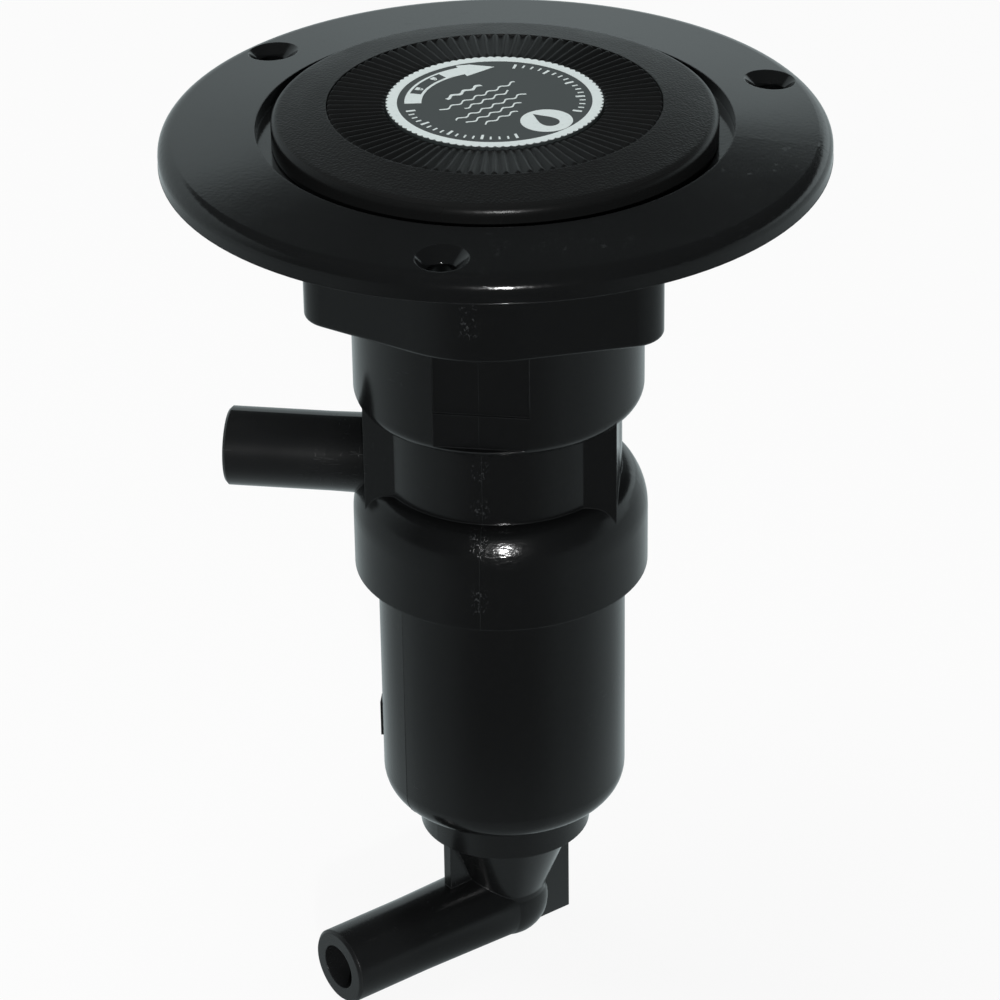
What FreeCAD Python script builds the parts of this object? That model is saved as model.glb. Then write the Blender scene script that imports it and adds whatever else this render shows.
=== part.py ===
"""Manual plunger pump for mounting through a deck: foot button, rod, piston, valves and hose tails.

Millimetres, +Z up. The origin is the centre of the deck plate's underside. The front is -Y and the
outlet tail points to -X.
"""
import FreeCAD, Part
import math
import os
import Sketcher

Vector = FreeCAD.Vector
UP = Vector(0, 0, 1)

SIZES = {
    # Deck plate: a round flange with a neck under it.
    "flange_radius": 57.0,
    "flange_edge": 4.3,
    "flange_round": 2.6,
    "lip_radius": 40.5,
    "lip_height": 5.5,
    "recess_floor": 3.0,
    "neck_depth": 24.3,
    "neck_front_wall": 5.2,
    "neck_front_angle": 22.5,
    "neck_right_wall": 2.5,
    "neck_left_wall": 1.7,
    "neck_side_angle": 100.0,
    "neck_back_wall": 3.6,
    "neck_nose_round": 24.0,
    "neck_corner_round": 6.0,
    "neck_edge_break": 0.8,
    "plate_turn": -1.5,
    "screw_inset": 6.25,
    "screw_hole": 2.4,
    "screw_sink": 4.4,
    # Pump body: barrel, middle with two side flats, collar and outlet tail.
    "barrel_radius": 25.4,
    "barrel_fit": 0.12,
    "barrel_wall": 3.0,
    "barrel_end": 43.3,
    "barrel_round": 2.9,
    "barrel_lip_inset": 7.0,
    "barrel_lip_thick": 1.2,
    "chamber_floor": 42.0,
    "front_width": 16.6,
    "front_offset": 0.4,
    "front_depth": 2.0,
    "front_step": 38.1,
    "front_foot_depth": 1.5,
    "front_end": 44.4,
    "middle_step": 3.9,
    "middle_wall": 3.5,
    "wing_front_angle": 50.0,
    "wing_corner_angle": 61.0,
    "wing_corner_inset": 0.1,
    "wing_back_angle": 85.0,
    "wing_end": 67.5,
    "collar_top": 60.6,
    "collar_proud": 4.55,
    "shoulder_inset": 2.7,
    "shoulder_drop": 4.7,
    "shoulder_top_round": 3.0,
    "shoulder_low_round": 12.0,
    "collar_end": 79.1,
    "tail_radius": 7.05,
    "tail_root": 7.3,
    "tail_taper": 30.0,
    "tail_bore": 4.2,
    "tail_edge": 0.5,
    "outlet_drop": 59.8,
    "outlet_reach": 48.5,
    "body_screw_inset": 3.0,
    "body_screw_front": 58.0,
    "body_screw_back": 139.0,
    "body_screw_radius": 1.2,
    "body_screw_head": 2.3,
    "body_screw_head_thick": 1.0,
    "body_screw_length": 11.0,
    # Lower cylinder: cup, valve housing, cone, elbow, inlet tail and web.
    "cup_radius": 22.0,
    "cup_fit": 0.15,
    "cup_wall": 2.6,
    "cup_insert": 9.0,
    "cup_end": 127.2,
    "cup_floor": 3.0,
    "cup_round": 5.5,
    "step_inset": 6.5,
    "step_end": 134.0,
    "cone_inset": 2.5,
    "cone_end": 148.5,
    "cone_foot": 7.4,
    "elbow_radius": 7.8,
    "inlet_drop": 152.1,
    "inlet_turn": -135.0,
    "inlet_reach": 38.3,
    "inlet_root": 7.5,
    "inlet_taper": 22.0,
    "web_thick": 2.0,
    "web_front": 13.4,
    "web_back": 13.9,
    "web_end": 160.2,
    "lug_top": 110.0,
    "lug_end": 117.0,
    "lug_proud": 0.4,
    "lug_width": 3.0,
    "lug_angle": -86.5,
    # Foot button.
    "button_gap": 2.7,
    "button_edge": 7.6,
    "button_crown": 9.2,
    "button_round": 1.6,
    "crown_inset": 9.4,
    "rib_floor": 8.7,
    "button_plate": 3.2,
    "skirt_wall": 2.2,
    "hub_radius": 8.5,
    "hub_drop": 0.3,
    "label_radius": 18.4,
    "label_thick": 1.2,
    "label_top": 9.3,
    "label_fit": 0.1,
    "hub_pocket": 7.2,
    "hub_pocket_floor": 4.8,
    "lock_lug_gap": 0.7,
    "lock_skirt_wall": 2.2,
    "lock_lug_reach": 3.4,
    "lock_lug_thick": 2.6,
    "lock_lug_angle": 30.0,
    "ledge_top": 3.0,
    "ledge_thick": 3.0,
    "ledge_angle": 44.0,
    "under_rib_thick": 1.4,
    # Rod, spring and rod guide.
    "stroke": 30.0,
    "rod_radius": 5.0,
    "rod_shoulder": 0.6,
    "spigot_radius": 4.0,
    "spigot_top": 5.0,
    "thread_radius": 2.0,
    "thread_depth": 16.0,
    "rod_end": 104.0,
    "stud_radius": 3.2,
    "stud_end": 118.0,
    "rod_collar": 7.2,
    "clip_radius": 7.0,
    "clip_thick": 0.8,
    "clip_groove": 4.4,
    "spring_washer_gap": 1.1,
    "spring_washer_thick": 1.0,
    "spring_inset": 2.9,
    "spring_wire": 0.85,
    "spring_turns": 9.0,
    "spring_end_pitch": 2.4,
    "spring_seat_thick": 1.0,
    "bush_flange": 8.0,
    "bush_flange_thick": 1.5,
    "bush_radius": 6.6,
    "bush_length": 2.9,
    "rod_seal_radius": 8.4,
    "rod_seal_length": 3.0,
    "seal_plate_radius": 11.0,
    "seal_plate_thick": 1.4,
    "ring_section": 1.0,
    "neck_ring_drop": 12.0,
    "cup_ring_drop": 74.5,
    "button_washer_radius": 6.6,
    "button_washer_thick": 0.8,
    "button_screw_head": 4.4,
    "button_screw_head_thick": 1.8,
    # Piston and valves.
    "piston_height": 11.0,
    "piston_gap": 0.5,
    "seal_groove_depth": 2.5,
    "seal_groove_drop": 3.0,
    "seal_groove_height": 5.0,
    "seal_gap": 0.1,
    "port_radius": 2.2,
    "port_circle": 10.6,
    "flap_radius": 14.2,
    "flap_thick": 1.2,
    "flap_lift": 1.0,
    "boss_radius": 4.4,
    "stop_radius": 12.0,
    "stop_thick": 1.0,
    "nut_radius": 6.2,
    "nut_thick": 3.6,
    "valve_seat_inset": 6.0,
    "valve_seat_thick": 2.4,
    "valve_port": 1.9,
    "valve_port_inset": 3.8,
    "inlet_flap_inset": 2.8,
    "inlet_flap_lift": 1.2,
    "stem_radius": 1.5,
    "stem_collar": 2.1,
    "stem_head": 4.2,
    "stem_head_thick": 1.2,
    "valve_chamber_inset": 1.9,
    "valve_chamber_depth": 4.0,
    # Clearances.
    "running_gap": 0.06,
    "rest_gap": 0.3,
    "seat_gap": 0.05,
}

document = FreeCAD.newDocument("DeckPump")
sheet = document.addObject("Spreadsheet::Sheet", "Sizes")


class Size:
    """A length or an angle together with the formula that gives it."""

    def __init__(self, text, value):
        self.text = text
        self.value = value

    def _join(self, sign, other, value):
        return Size("(%s %s %s)" % (self.text, sign, as_size(other).text), value)

    def __add__(self, other):
        return self._join("+", other, self.value + as_size(other).value)

    def __radd__(self, other):
        return as_size(other) + self

    def __sub__(self, other):
        return self._join("-", other, self.value - as_size(other).value)

    def __rsub__(self, other):
        return as_size(other) - self

    def __mul__(self, other):
        return self._join("*", other, self.value * as_size(other).value)

    def __rmul__(self, other):
        return as_size(other) * self

    def __truediv__(self, other):
        return self._join("/", other, self.value / as_size(other).value)

    def __neg__(self):
        return Size("(-1 * %s)" % self.text, -self.value)


def as_size(number):
    """Gives a plain number as a Size."""
    return number if isinstance(number, Size) else Size(repr(float(number)), float(number))


def cosine(angle):
    """Cosine of an angle in degrees."""
    angle = as_size(angle)
    return Size("cos(%s * 1 deg)" % angle.text, math.cos(math.radians(angle.value)))


def sine(angle):
    """Sine of an angle in degrees."""
    angle = as_size(angle)
    return Size("sin(%s * 1 deg)" % angle.text, math.sin(math.radians(angle.value)))


def fill_sheet():
    """Writes the driving sizes into the sheet, one row each."""
    for row, (name, number) in enumerate(SIZES.items(), start=1):
        sheet.set("A%d" % row, name)
        sheet.set("B%d" % row, repr(number))
        sheet.setAlias("B%d" % row, name)
    document.recompute()


def size(name):
    """Gives one driving size by its name in the sheet."""
    return Size("Sizes.%s" % name, float(sheet.get(name)))


def bind(target, path, amount):
    """Ties a property to a formula."""
    target.setExpression(path, as_size(amount).text)


def new_body(label):
    """Starts a sub-part under its own name."""
    body = document.addObject("PartDesign::Body", label)
    body.Label = label
    return body


def origin_item(body, role):
    """Finds one of the body's own origin planes or axes."""
    return [item for item in body.Origin.OriginFeatures if item.Role == role][0]


def new_sketch(body, name, plane="XZ_Plane", level=None):
    """Adds a sketch on one of the body's origin planes, moved along its normal by level."""
    sketch = body.newObject("Sketcher::SketchObject", name)
    sketch.AttachmentSupport = (origin_item(body, plane), [""])
    sketch.MapMode = "FlatFace"
    if level is not None:
        bind(sketch, "AttachmentOffset.Base.z", level)
    return sketch


def fix_point(sketch, line, corner):
    """Holds the start of a line at a corner given by two sizes."""
    for kind, amount, axis in (("DistanceX", corner[0], -2), ("DistanceY", corner[1], -1)):
        if abs(amount.value) < 1e-9:
            sketch.addConstraint(Sketcher.Constraint("PointOnObject", line, 1, axis))
            continue
        index = sketch.addConstraint(Sketcher.Constraint(kind, -1, 1, line, 1, amount.value))
        bind(sketch, "Constraints[%d]" % index, amount)


def draw_loop(sketch, corners):
    """Draws a closed outline of straight lines through corners."""
    corners = [(as_size(first), as_size(second)) for first, second in corners]
    start = sketch.GeometryCount
    count = len(corners)
    for index in range(count):
        here = corners[index]
        there = corners[(index + 1) % count]
        begin = Vector(here[0].value, here[1].value, 0)
        finish = Vector(there[0].value, there[1].value, 0)
        sketch.addGeometry(Part.LineSegment(begin, finish), False)
    for index in range(count):
        following = start + (index + 1) % count
        sketch.addConstraint(Sketcher.Constraint("Coincident", start + index, 2, following, 1))
    for index in range(count):
        fix_point(sketch, start + index, corners[index])


def turn(body, name, corners, cut=False):
    """Turns an outline of (radius, height) corners around the Z axis."""
    sketch = new_sketch(body, name + "_outline")
    draw_loop(sketch, corners)
    kind = "PartDesign::Groove" if cut else "PartDesign::Revolution"
    feature = body.newObject(kind, name)
    feature.Profile = sketch
    feature.ReferenceAxis = (sketch, ["V_Axis"])
    feature.Angle = 360
    document.recompute()
    return feature


def pad(body, name, corners, level, length, plane="XY_Plane", middle=False, down=False):
    """Raises an outline of straight lines into a solid."""
    sketch = new_sketch(body, name + "_outline", plane, level)
    draw_loop(sketch, corners)
    feature = body.newObject("PartDesign::Pad", name)
    feature.Profile = sketch
    bind(feature, "Length", length)
    feature.Midplane = middle
    feature.Reversed = down
    document.recompute()
    return feature


def primitive(body, kind, name, numbers, base, direction=UP):
    """Adds or cuts a primitive whose numbers and place are tied to the sheet."""
    feature = body.newObject("PartDesign::" + kind, name)
    feature.Placement = FreeCAD.Placement(Vector(0, 0, 0), FreeCAD.Rotation(UP, direction))
    for path, amount in numbers.items():
        bind(feature, path, amount)
    for axis, amount in zip("xyz", base):
        bind(feature, "Placement.Base." + axis, amount)
    document.recompute()
    return feature


def repeat(body, name, originals, count):
    """Repeats features evenly around the Z axis."""
    pattern = body.newObject("PartDesign::PolarPattern", name)
    pattern.Originals = originals
    pattern.Axis = (origin_item(body, "Z_Axis"), [""])
    pattern.Angle = 360
    pattern.Occurrences = count
    body.Tip = pattern
    document.recompute()
    return pattern


def circles(body):
    """Lists the round edges of a body with their names."""
    found = []
    for index, edge in enumerate(body.Shape.Edges, start=1):
        if not edge.Degenerated and isinstance(edge.Curve, Part.Circle):
            found.append(("Edge%d" % index, edge.Curve))
    return found


def ring_edges(body, radius, height):
    """Names the level round edges of a body at a radius and height."""
    return [
        name for name, curve in circles(body)
        if abs(curve.Radius - as_size(radius).value) < 1e-3
        and abs(curve.Center.z - as_size(height).value) < 1e-3 and abs(curve.Axis.z) > 0.99]


def tail_edges(body, across, radius):
    """Names the round edges at the end of a tail that lies along X."""
    return [
        name for name, curve in circles(body)
        if abs(curve.Radius - radius) < 1e-3
        and abs(curve.Center.x - across) < 1e-3 and abs(curve.Axis.x) > 0.99]


def upright_edges(body, corner, low):
    """Names the vertical edges of a body that stand on a corner of its plan."""
    names = []
    for index, edge in enumerate(body.Shape.Edges, start=1):
        if edge.Degenerated:
            continue
        first, last = edge.Vertexes[0].Point, edge.Vertexes[-1].Point
        upright = abs(first.x - last.x) < 1e-6 and abs(first.y - last.y) < 1e-6
        near = math.hypot(first.x - corner[0].value, first.y - corner[1].value) < 1e-3
        if upright and near and min(first.z, last.z) < low:
            names.append("Edge%d" % index)
    return names


def level_edges(body, height):
    """Names the edges of a body that lie at one height."""
    names = []
    for index, edge in enumerate(body.Shape.Edges, start=1):
        if edge.Degenerated:
            continue
        box = edge.BoundBox
        if abs(box.ZMin - height) < 1e-3 and abs(box.ZMax - height) < 1e-3:
            names.append("Edge%d" % index)
    return names


def round_edges(body, name, edges, radius, kind="Fillet"):
    """Rounds or breaks edges of the body as it stands."""
    base = body.Tip
    feature = body.newObject("PartDesign::" + kind, name)
    feature.Base = (base, edges)
    bind(feature, "Radius" if kind == "Fillet" else "Size", radius)
    document.recompute()
    return feature


def simple_turn(label, corners):
    """Makes a sub-part that is one turned outline."""
    body = new_body(label)
    turn(body, label + "_turn", corners)
    return body


def washer(label, inner, outer, low, high):
    """Makes a flat ring between two heights."""
    return simple_turn(label, [(inner, low), (outer, low), (outer, high), (inner, high)])


def meet(first_angle, first_distance, second_angle, second_distance):
    """Corner of two upright planes, each given by its normal's angle from the front and distance."""
    spread = sine(as_size(second_angle) - first_angle)
    across = (second_distance * cosine(first_angle) - first_distance * cosine(second_angle)) / spread
    ahead = (first_distance * sine(second_angle) - second_distance * sine(first_angle)) / spread
    return across, -ahead


def polar(radius, angle):
    """Point at a radius and an angle from the front towards +X."""
    return as_size(radius) * sine(angle), -(as_size(radius) * cosine(angle))


def sector(inner, outer, angle, middle=0.0):
    """Outline of a piece of a ring, in short straight steps."""
    shares = (-0.5, -0.25, 0.0, 0.25, 0.5)
    out = [polar(outer, as_size(angle) * share + middle) for share in shares]
    back = [polar(inner, as_size(angle) * share + middle) for share in reversed(shares)]
    return out + back


fill_sheet()

BODY_SCREW_ANGLES = (
    ("body_screw_1", size("body_screw_front")),
    ("body_screw_2", -size("body_screw_front")),
    ("body_screw_3", size("body_screw_back")),
    ("body_screw_4", -size("body_screw_back")),
)


def middle_radius():
    """Radius of the body's narrower middle."""
    return size("barrel_radius") - size("middle_step")


def upper_chamber():
    """Radius of the room above the piston."""
    return middle_radius() - size("middle_wall")


def collar_radius():
    """Radius of the collar that takes the cup."""
    return middle_radius() + size("collar_proud")


def barrel_room():
    """Inner radius of the barrel."""
    return size("barrel_radius") - size("barrel_wall")


def barrel_lip():
    """Radius of the barrel's lip in the deck plate."""
    return size("lip_radius") - size("barrel_lip_inset")


def body_screw_circle():
    """Radius that the body screws stand on."""
    return barrel_lip() - size("body_screw_inset")


def screw_circle():
    """Radius that the deck screw holes stand on."""
    return size("flange_radius") - size("screw_inset")


def button_radius():
    """Radius of the button inside the raised lip."""
    return size("lip_radius") - size("button_gap")


def crown_radius():
    """Radius of the ribbed field in the button."""
    return button_radius() - size("crown_inset")


def lock_skirt():
    """Radius of the button's locking skirt inside the barrel."""
    return barrel_room() - size("lock_lug_gap") - size("lock_lug_reach")


def spring_washer_radius():
    """Radius of the washer that the spring pushes on, inside the locking skirt."""
    return lock_skirt() - size("lock_skirt_wall") - size("spring_washer_gap")


def piston_radius():
    """Radius of the piston in the cup."""
    return size("cup_radius") - size("cup_wall") - size("piston_gap")


def step_radius():
    """Radius of the valve housing's step below the cup."""
    return size("cup_radius") - size("step_inset")


def cone_top():
    """Radius of the cone where it leaves the step."""
    return step_radius() - size("cone_inset")


def valve_seat_radius():
    """Radius of the inlet valve's seat in the cup's floor."""
    return size("cup_radius") - size("cup_wall") - size("valve_seat_inset")


def valve_chamber():
    """Radius of the room below the inlet valve's seat."""
    return valve_seat_radius() - size("valve_chamber_inset")


def inlet_flap_radius():
    """Radius of the inlet valve's rubber disc."""
    return valve_seat_radius() - size("inlet_flap_inset")


def valve_port_circle():
    """Radius that the ports of the inlet valve's seat stand on."""
    return inlet_flap_radius() - size("valve_port_inset")


def piston_top():
    """Height of the piston's upper face, below the flap and its stop."""
    lift = size("flap_lift") + size("flap_thick") + size("rest_gap")
    return -size("rod_end") - size("stop_thick") - lift


def seal_groove():
    """Radius of the floor of the piston's seal groove."""
    return piston_radius() - size("seal_groove_depth")


def body_screw_top():
    """Height of the top of the body screws' heads."""
    return size("recess_floor") - size("seat_gap") + size("body_screw_head_thick")


def lip_seat():
    """Height of the shelf in the deck plate that carries the barrel's lip."""
    return size("recess_floor") - size("barrel_lip_thick") - size("seat_gap")


def make_deck_plate():
    """Round flange with a raised lip, three sunk screw holes and the shaped neck."""
    body = new_body("deck_plate")
    bore = size("barrel_radius") + size("barrel_fit")
    turn(body, "flange", [
        (bore, 0), (size("flange_radius"), 0), (size("flange_radius"), size("flange_edge")),
        (size("lip_radius"), size("lip_height")), (size("lip_radius"), size("recess_floor")),
        (bore, size("recess_floor"))])
    rim = ring_edges(body, size("flange_radius"), size("flange_edge"))
    round_edges(body, "flange_rounding", rim, size("flange_round"))
    neck_front = size("barrel_radius") + size("neck_front_wall")
    neck_right = size("barrel_radius") + size("neck_right_wall")
    neck_left = size("barrel_radius") + size("neck_left_wall")
    neck_back = size("barrel_radius") + size("neck_back_wall")
    nose = meet(-size("neck_front_angle"), neck_front, size("neck_front_angle"), neck_front)
    right = meet(size("neck_front_angle"), neck_front, size("neck_side_angle"), neck_right)
    rear_right = meet(size("neck_side_angle"), neck_right, 180, neck_back)
    rear_left = meet(180, neck_back, -size("neck_side_angle"), neck_left)
    left = meet(-size("neck_side_angle"), neck_left, -size("neck_front_angle"), neck_front)
    pad(body, "neck", [nose, right, rear_right, rear_left, left], 0, size("neck_depth"), down=True)
    low = -0.5 * SIZES["neck_depth"]
    round_edges(body, "neck_nose", upright_edges(body, nose, low), size("neck_nose_round"))
    corners = [name for corner in (right, rear_right, rear_left, left)
               for name in upright_edges(body, corner, low)]
    round_edges(body, "neck_corners", corners, size("neck_corner_round"))
    round_edges(body, "neck_foot", level_edges(body, -SIZES["neck_depth"]), size("neck_edge_break"))
    turn(body, "barrel_hole", [
        (0, -size("neck_depth") - 1), (bore, -size("neck_depth") - 1), (bore, lip_seat()),
        (barrel_lip() + size("barrel_fit"), lip_seat()),
        (barrel_lip() + size("barrel_fit"), size("recess_floor") + 1),
        (0, size("recess_floor") + 1)], cut=True)
    slope = (size("lip_height") - size("flange_edge")) / (size("flange_radius") - size("lip_radius"))
    top = size("flange_edge") + slope * (size("flange_radius") - screw_circle())
    hole = primitive(body, "SubtractiveCylinder", "screw_hole", {
        "Radius": size("screw_hole"), "Height": size("lip_height") + 2},
        (0, -screw_circle(), -1))
    sink_depth = size("screw_sink") - size("screw_hole")
    sink = primitive(body, "SubtractiveCone", "screw_sink", {
        "Radius1": size("screw_hole"), "Radius2": size("screw_sink") + 1, "Height": sink_depth + 1},
        (0, -screw_circle(), top - sink_depth))
    repeat(body, "screw_holes", [hole, sink], 3)
    for label, angle in BODY_SCREW_ANGLES:
        place = polar(body_screw_circle(), angle - size("plate_turn"))
        primitive(body, "SubtractiveCylinder", "hole_for_" + label, {
            "Radius": size("body_screw_radius") + size("seat_gap"),
            "Height": size("body_screw_length") + 1},
            (place[0], place[1], lip_seat() - size("body_screw_length")))
    body.Placement = FreeCAD.Placement(Vector(0, 0, 0), FreeCAD.Rotation(UP, SIZES["plate_turn"]))
    return body


def make_pump_body():
    """Barrel with a lip and locking ledges, middle with side flats, collar and outlet tail."""
    body = new_body("pump_body")
    lip_low = lip_seat() + size("seat_gap")
    lip_high = lip_low + size("barrel_lip_thick") - size("seat_gap")
    turn(body, "shell", [
        (0, lip_high), (barrel_lip(), lip_high), (barrel_lip(), lip_low),
        (size("barrel_radius"), lip_low), (size("barrel_radius"), -size("barrel_end") - size("barrel_round")),
        (middle_radius(), -size("barrel_end") - size("barrel_round")),
        (middle_radius(), -size("collar_top")),
        (collar_radius() - size("shoulder_inset"), -size("collar_top")),
        (collar_radius(), -size("collar_top") - size("shoulder_drop")),
        (collar_radius(), -size("collar_end")), (0, -size("collar_end"))])
    foot = ring_edges(body, size("barrel_radius"), -size("barrel_end") - size("barrel_round"))
    round_edges(body, "barrel_foot", foot, size("barrel_round"))
    low = ring_edges(body, collar_radius(), -size("collar_top") - size("shoulder_drop"))
    round_edges(body, "shoulder_foot", low, size("shoulder_low_round"))
    high = ring_edges(body, collar_radius() - size("shoulder_inset"), -size("collar_top"))
    round_edges(body, "shoulder_head", high, size("shoulder_top_round"))
    corner = size("barrel_radius") - size("wing_corner_inset")
    wing_top = -size("barrel_end")
    wing_length = size("wing_end") - size("barrel_end")
    for side, name in ((1, "right_wing"), (-1, "left_wing")):
        pad(body, name, [
            polar(middle_radius(), size("wing_front_angle") * side),
            polar(corner, size("wing_corner_angle") * side),
            polar(middle_radius(), size("wing_back_angle") * side)],
            wing_top, wing_length, down=True)
    straight = size("outlet_reach") - size("tail_taper")
    to_left = Vector(-1, 0, 0)
    primitive(body, "AdditiveCone", "outlet_root", {
        "Radius1": size("tail_root"), "Radius2": size("tail_radius"),
        "Height": size("tail_taper") - upper_chamber()},
        (-upper_chamber(), 0, -size("outlet_drop")), to_left)
    primitive(body, "AdditiveCylinder", "outlet_tail", {
        "Radius": size("tail_radius"), "Height": straight},
        (-size("tail_taper"), 0, -size("outlet_drop")), to_left)
    left_edge = size("front_offset") - size("front_width") / 2
    for name, depth, high, low in (
            ("front_panel", size("front_depth"), -size("neck_depth"), -size("front_step")),
            ("front_panel_foot", size("front_foot_depth"), -size("front_step"), -size("front_end"))):
        primitive(body, "SubtractiveBox", name, {
            "Length": size("front_width"), "Width": depth + 1, "Height": high - low},
            (left_edge, -size("barrel_radius") - 1, low))
    turn(body, "barrel_room", [
        (0, lip_high + 1), (barrel_room(), lip_high + 1), (barrel_room(), -size("chamber_floor")),
        (0, -size("chamber_floor"))], cut=True)
    ledge = pad(body, "ledge", sector(
        lock_skirt() + size("rest_gap") * 2, barrel_room() + size("barrel_wall") / 2, size("ledge_angle")),
        -size("ledge_top"), size("ledge_thick"), down=True)
    repeat(body, "ledges", [ledge], 3)
    seal_low = -size("chamber_floor") - size("bush_length") - size("rod_seal_length") - size("seat_gap") * 2
    turn(body, "rod_hole", [
        (0, -size("chamber_floor") + 1),
        (size("bush_radius") + size("seat_gap"), -size("chamber_floor") + 1),
        (size("bush_radius") + size("seat_gap"), -size("chamber_floor") - size("bush_length")),
        (size("rod_seal_radius") + size("seat_gap"), -size("chamber_floor") - size("bush_length")),
        (size("rod_seal_radius") + size("seat_gap"), seal_low),
        (upper_chamber(), seal_low),
        (upper_chamber(), -size("collar_end") + size("cup_insert")),
        (size("cup_radius") + size("cup_fit"), -size("collar_end") + size("cup_insert")),
        (size("cup_radius") + size("cup_fit"), -size("collar_end") - 1),
        (0, -size("collar_end") - 1)], cut=True)
    primitive(body, "SubtractiveCylinder", "outlet_bore", {
        "Radius": size("tail_bore"), "Height": size("outlet_reach") - upper_chamber() + 3},
        (-upper_chamber() + 2, 0, -size("outlet_drop")), to_left)
    for label, angle in BODY_SCREW_ANGLES:
        place = polar(body_screw_circle(), angle)
        primitive(body, "SubtractiveCylinder", "way_for_" + label, {
            "Radius": size("body_screw_radius") + size("seat_gap"), "Height": 4},
            (place[0], place[1], 0))
    cut_ring_groove(body, size("barrel_radius"), -size("neck_ring_drop"))
    tip = tail_edges(body, -SIZES["outlet_reach"], SIZES["tail_radius"])
    round_edges(body, "outlet_edge", tip, size("tail_edge"), "Chamfer")
    return body


def cut_ring_groove(body, radius, middle):
    """Cuts the groove of a round seal into a round wall."""
    half = size("ring_section") * 0.8
    turn(body, "ring_groove", [
        (radius - size("ring_section"), middle - half), (radius + 0.05, middle - half),
        (radius + 0.05, middle + half), (radius - size("ring_section"), middle + half)], cut=True)


def make_lower_cylinder():
    """Cup, valve housing, cone, elbow, level inlet tail, web and a small side lug."""
    body = new_body("lower_cylinder")
    top = -size("collar_end") + size("cup_insert") - size("rest_gap")
    turn(body, "shell", [
        (0, top), (size("cup_radius"), top), (size("cup_radius"), -size("cup_end")),
        (step_radius(), -size("cup_end")), (step_radius(), -size("step_end")),
        (cone_top(), -size("step_end")), (size("cone_foot"), -size("cone_end")),
        (size("cone_foot"), -size("inlet_drop")), (0, -size("inlet_drop"))])
    foot = ring_edges(body, size("cup_radius"), -size("cup_end"))
    round_edges(body, "cup_foot", foot, size("cup_round"))
    ahead = Vector(1, 0, 0)
    level = -size("inlet_drop")
    primitive(body, "AdditiveSphere", "elbow", {"Radius": size("elbow_radius")}, (0, 0, level))
    primitive(body, "AdditiveCone", "inlet_root", {
        "Radius1": size("inlet_root"), "Radius2": size("tail_radius"), "Height": size("inlet_taper")},
        (0, 0, level), ahead)
    primitive(body, "AdditiveCylinder", "inlet_tail", {
        "Radius": size("tail_radius"), "Height": size("inlet_reach") - size("inlet_taper")},
        (size("inlet_taper"), 0, level), ahead)
    pad(body, "web", [
        (-size("web_back"), -size("step_end") + 1), (size("web_front"), -size("step_end") + 1),
        (size("web_front"), level), (0, level), (0, -size("web_end")),
        (-size("web_back"), -size("web_end"))],
        None, size("web_thick"), plane="XZ_Plane", middle=True)
    lug = primitive(body, "AdditiveBox", "side_lug", {
        "Length": size("cup_wall") / 2 + size("lug_proud"), "Width": size("lug_width"),
        "Height": size("lug_end") - size("lug_top")}, (0, 0, -size("lug_end")))
    lean = size("lug_angle").value - 90 - size("inlet_turn").value
    spin = FreeCAD.Rotation(UP, lean)
    start = spin.multVec(Vector(SIZES["cup_radius"] - SIZES["cup_wall"] / 2, -SIZES["lug_width"] / 2, 0))
    lug.setExpression("Placement.Base.x", None)
    lug.setExpression("Placement.Base.y", None)
    lug.Placement = FreeCAD.Placement(Vector(start.x, start.y, -SIZES["lug_end"]), spin)
    inner = size("cup_radius") - size("cup_wall")
    floor = -size("cup_end") + size("cup_floor")
    seat_low = floor - size("valve_seat_thick") - size("seat_gap")
    turn(body, "cup_room", [
        (0, top + 1), (inner, top + 1), (inner, floor),
        (valve_seat_radius() + size("seat_gap"), floor),
        (valve_seat_radius() + size("seat_gap"), seat_low),
        (valve_chamber(), seat_low),
        (valve_chamber(), seat_low - size("valve_chamber_depth")),
        (size("tail_bore"), seat_low - size("valve_chamber_depth")),
        (size("tail_bore"), level), (0, level)], cut=True)
    primitive(body, "SubtractiveCylinder", "inlet_bore", {
        "Radius": size("tail_bore"), "Height": size("inlet_reach") + 2}, (0, 0, level), ahead)
    primitive(body, "SubtractiveSphere", "bend_bore", {"Radius": size("tail_bore")}, (0, 0, level))
    cut_ring_groove(body, size("cup_radius"), -size("cup_ring_drop"))
    tip = tail_edges(body, SIZES["inlet_reach"], SIZES["tail_radius"])
    round_edges(body, "inlet_edge", tip, size("tail_edge"), "Chamfer")
    body.Placement = FreeCAD.Placement(Vector(0, 0, 0), FreeCAD.Rotation(UP, SIZES["inlet_turn"]))
    return body


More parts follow.
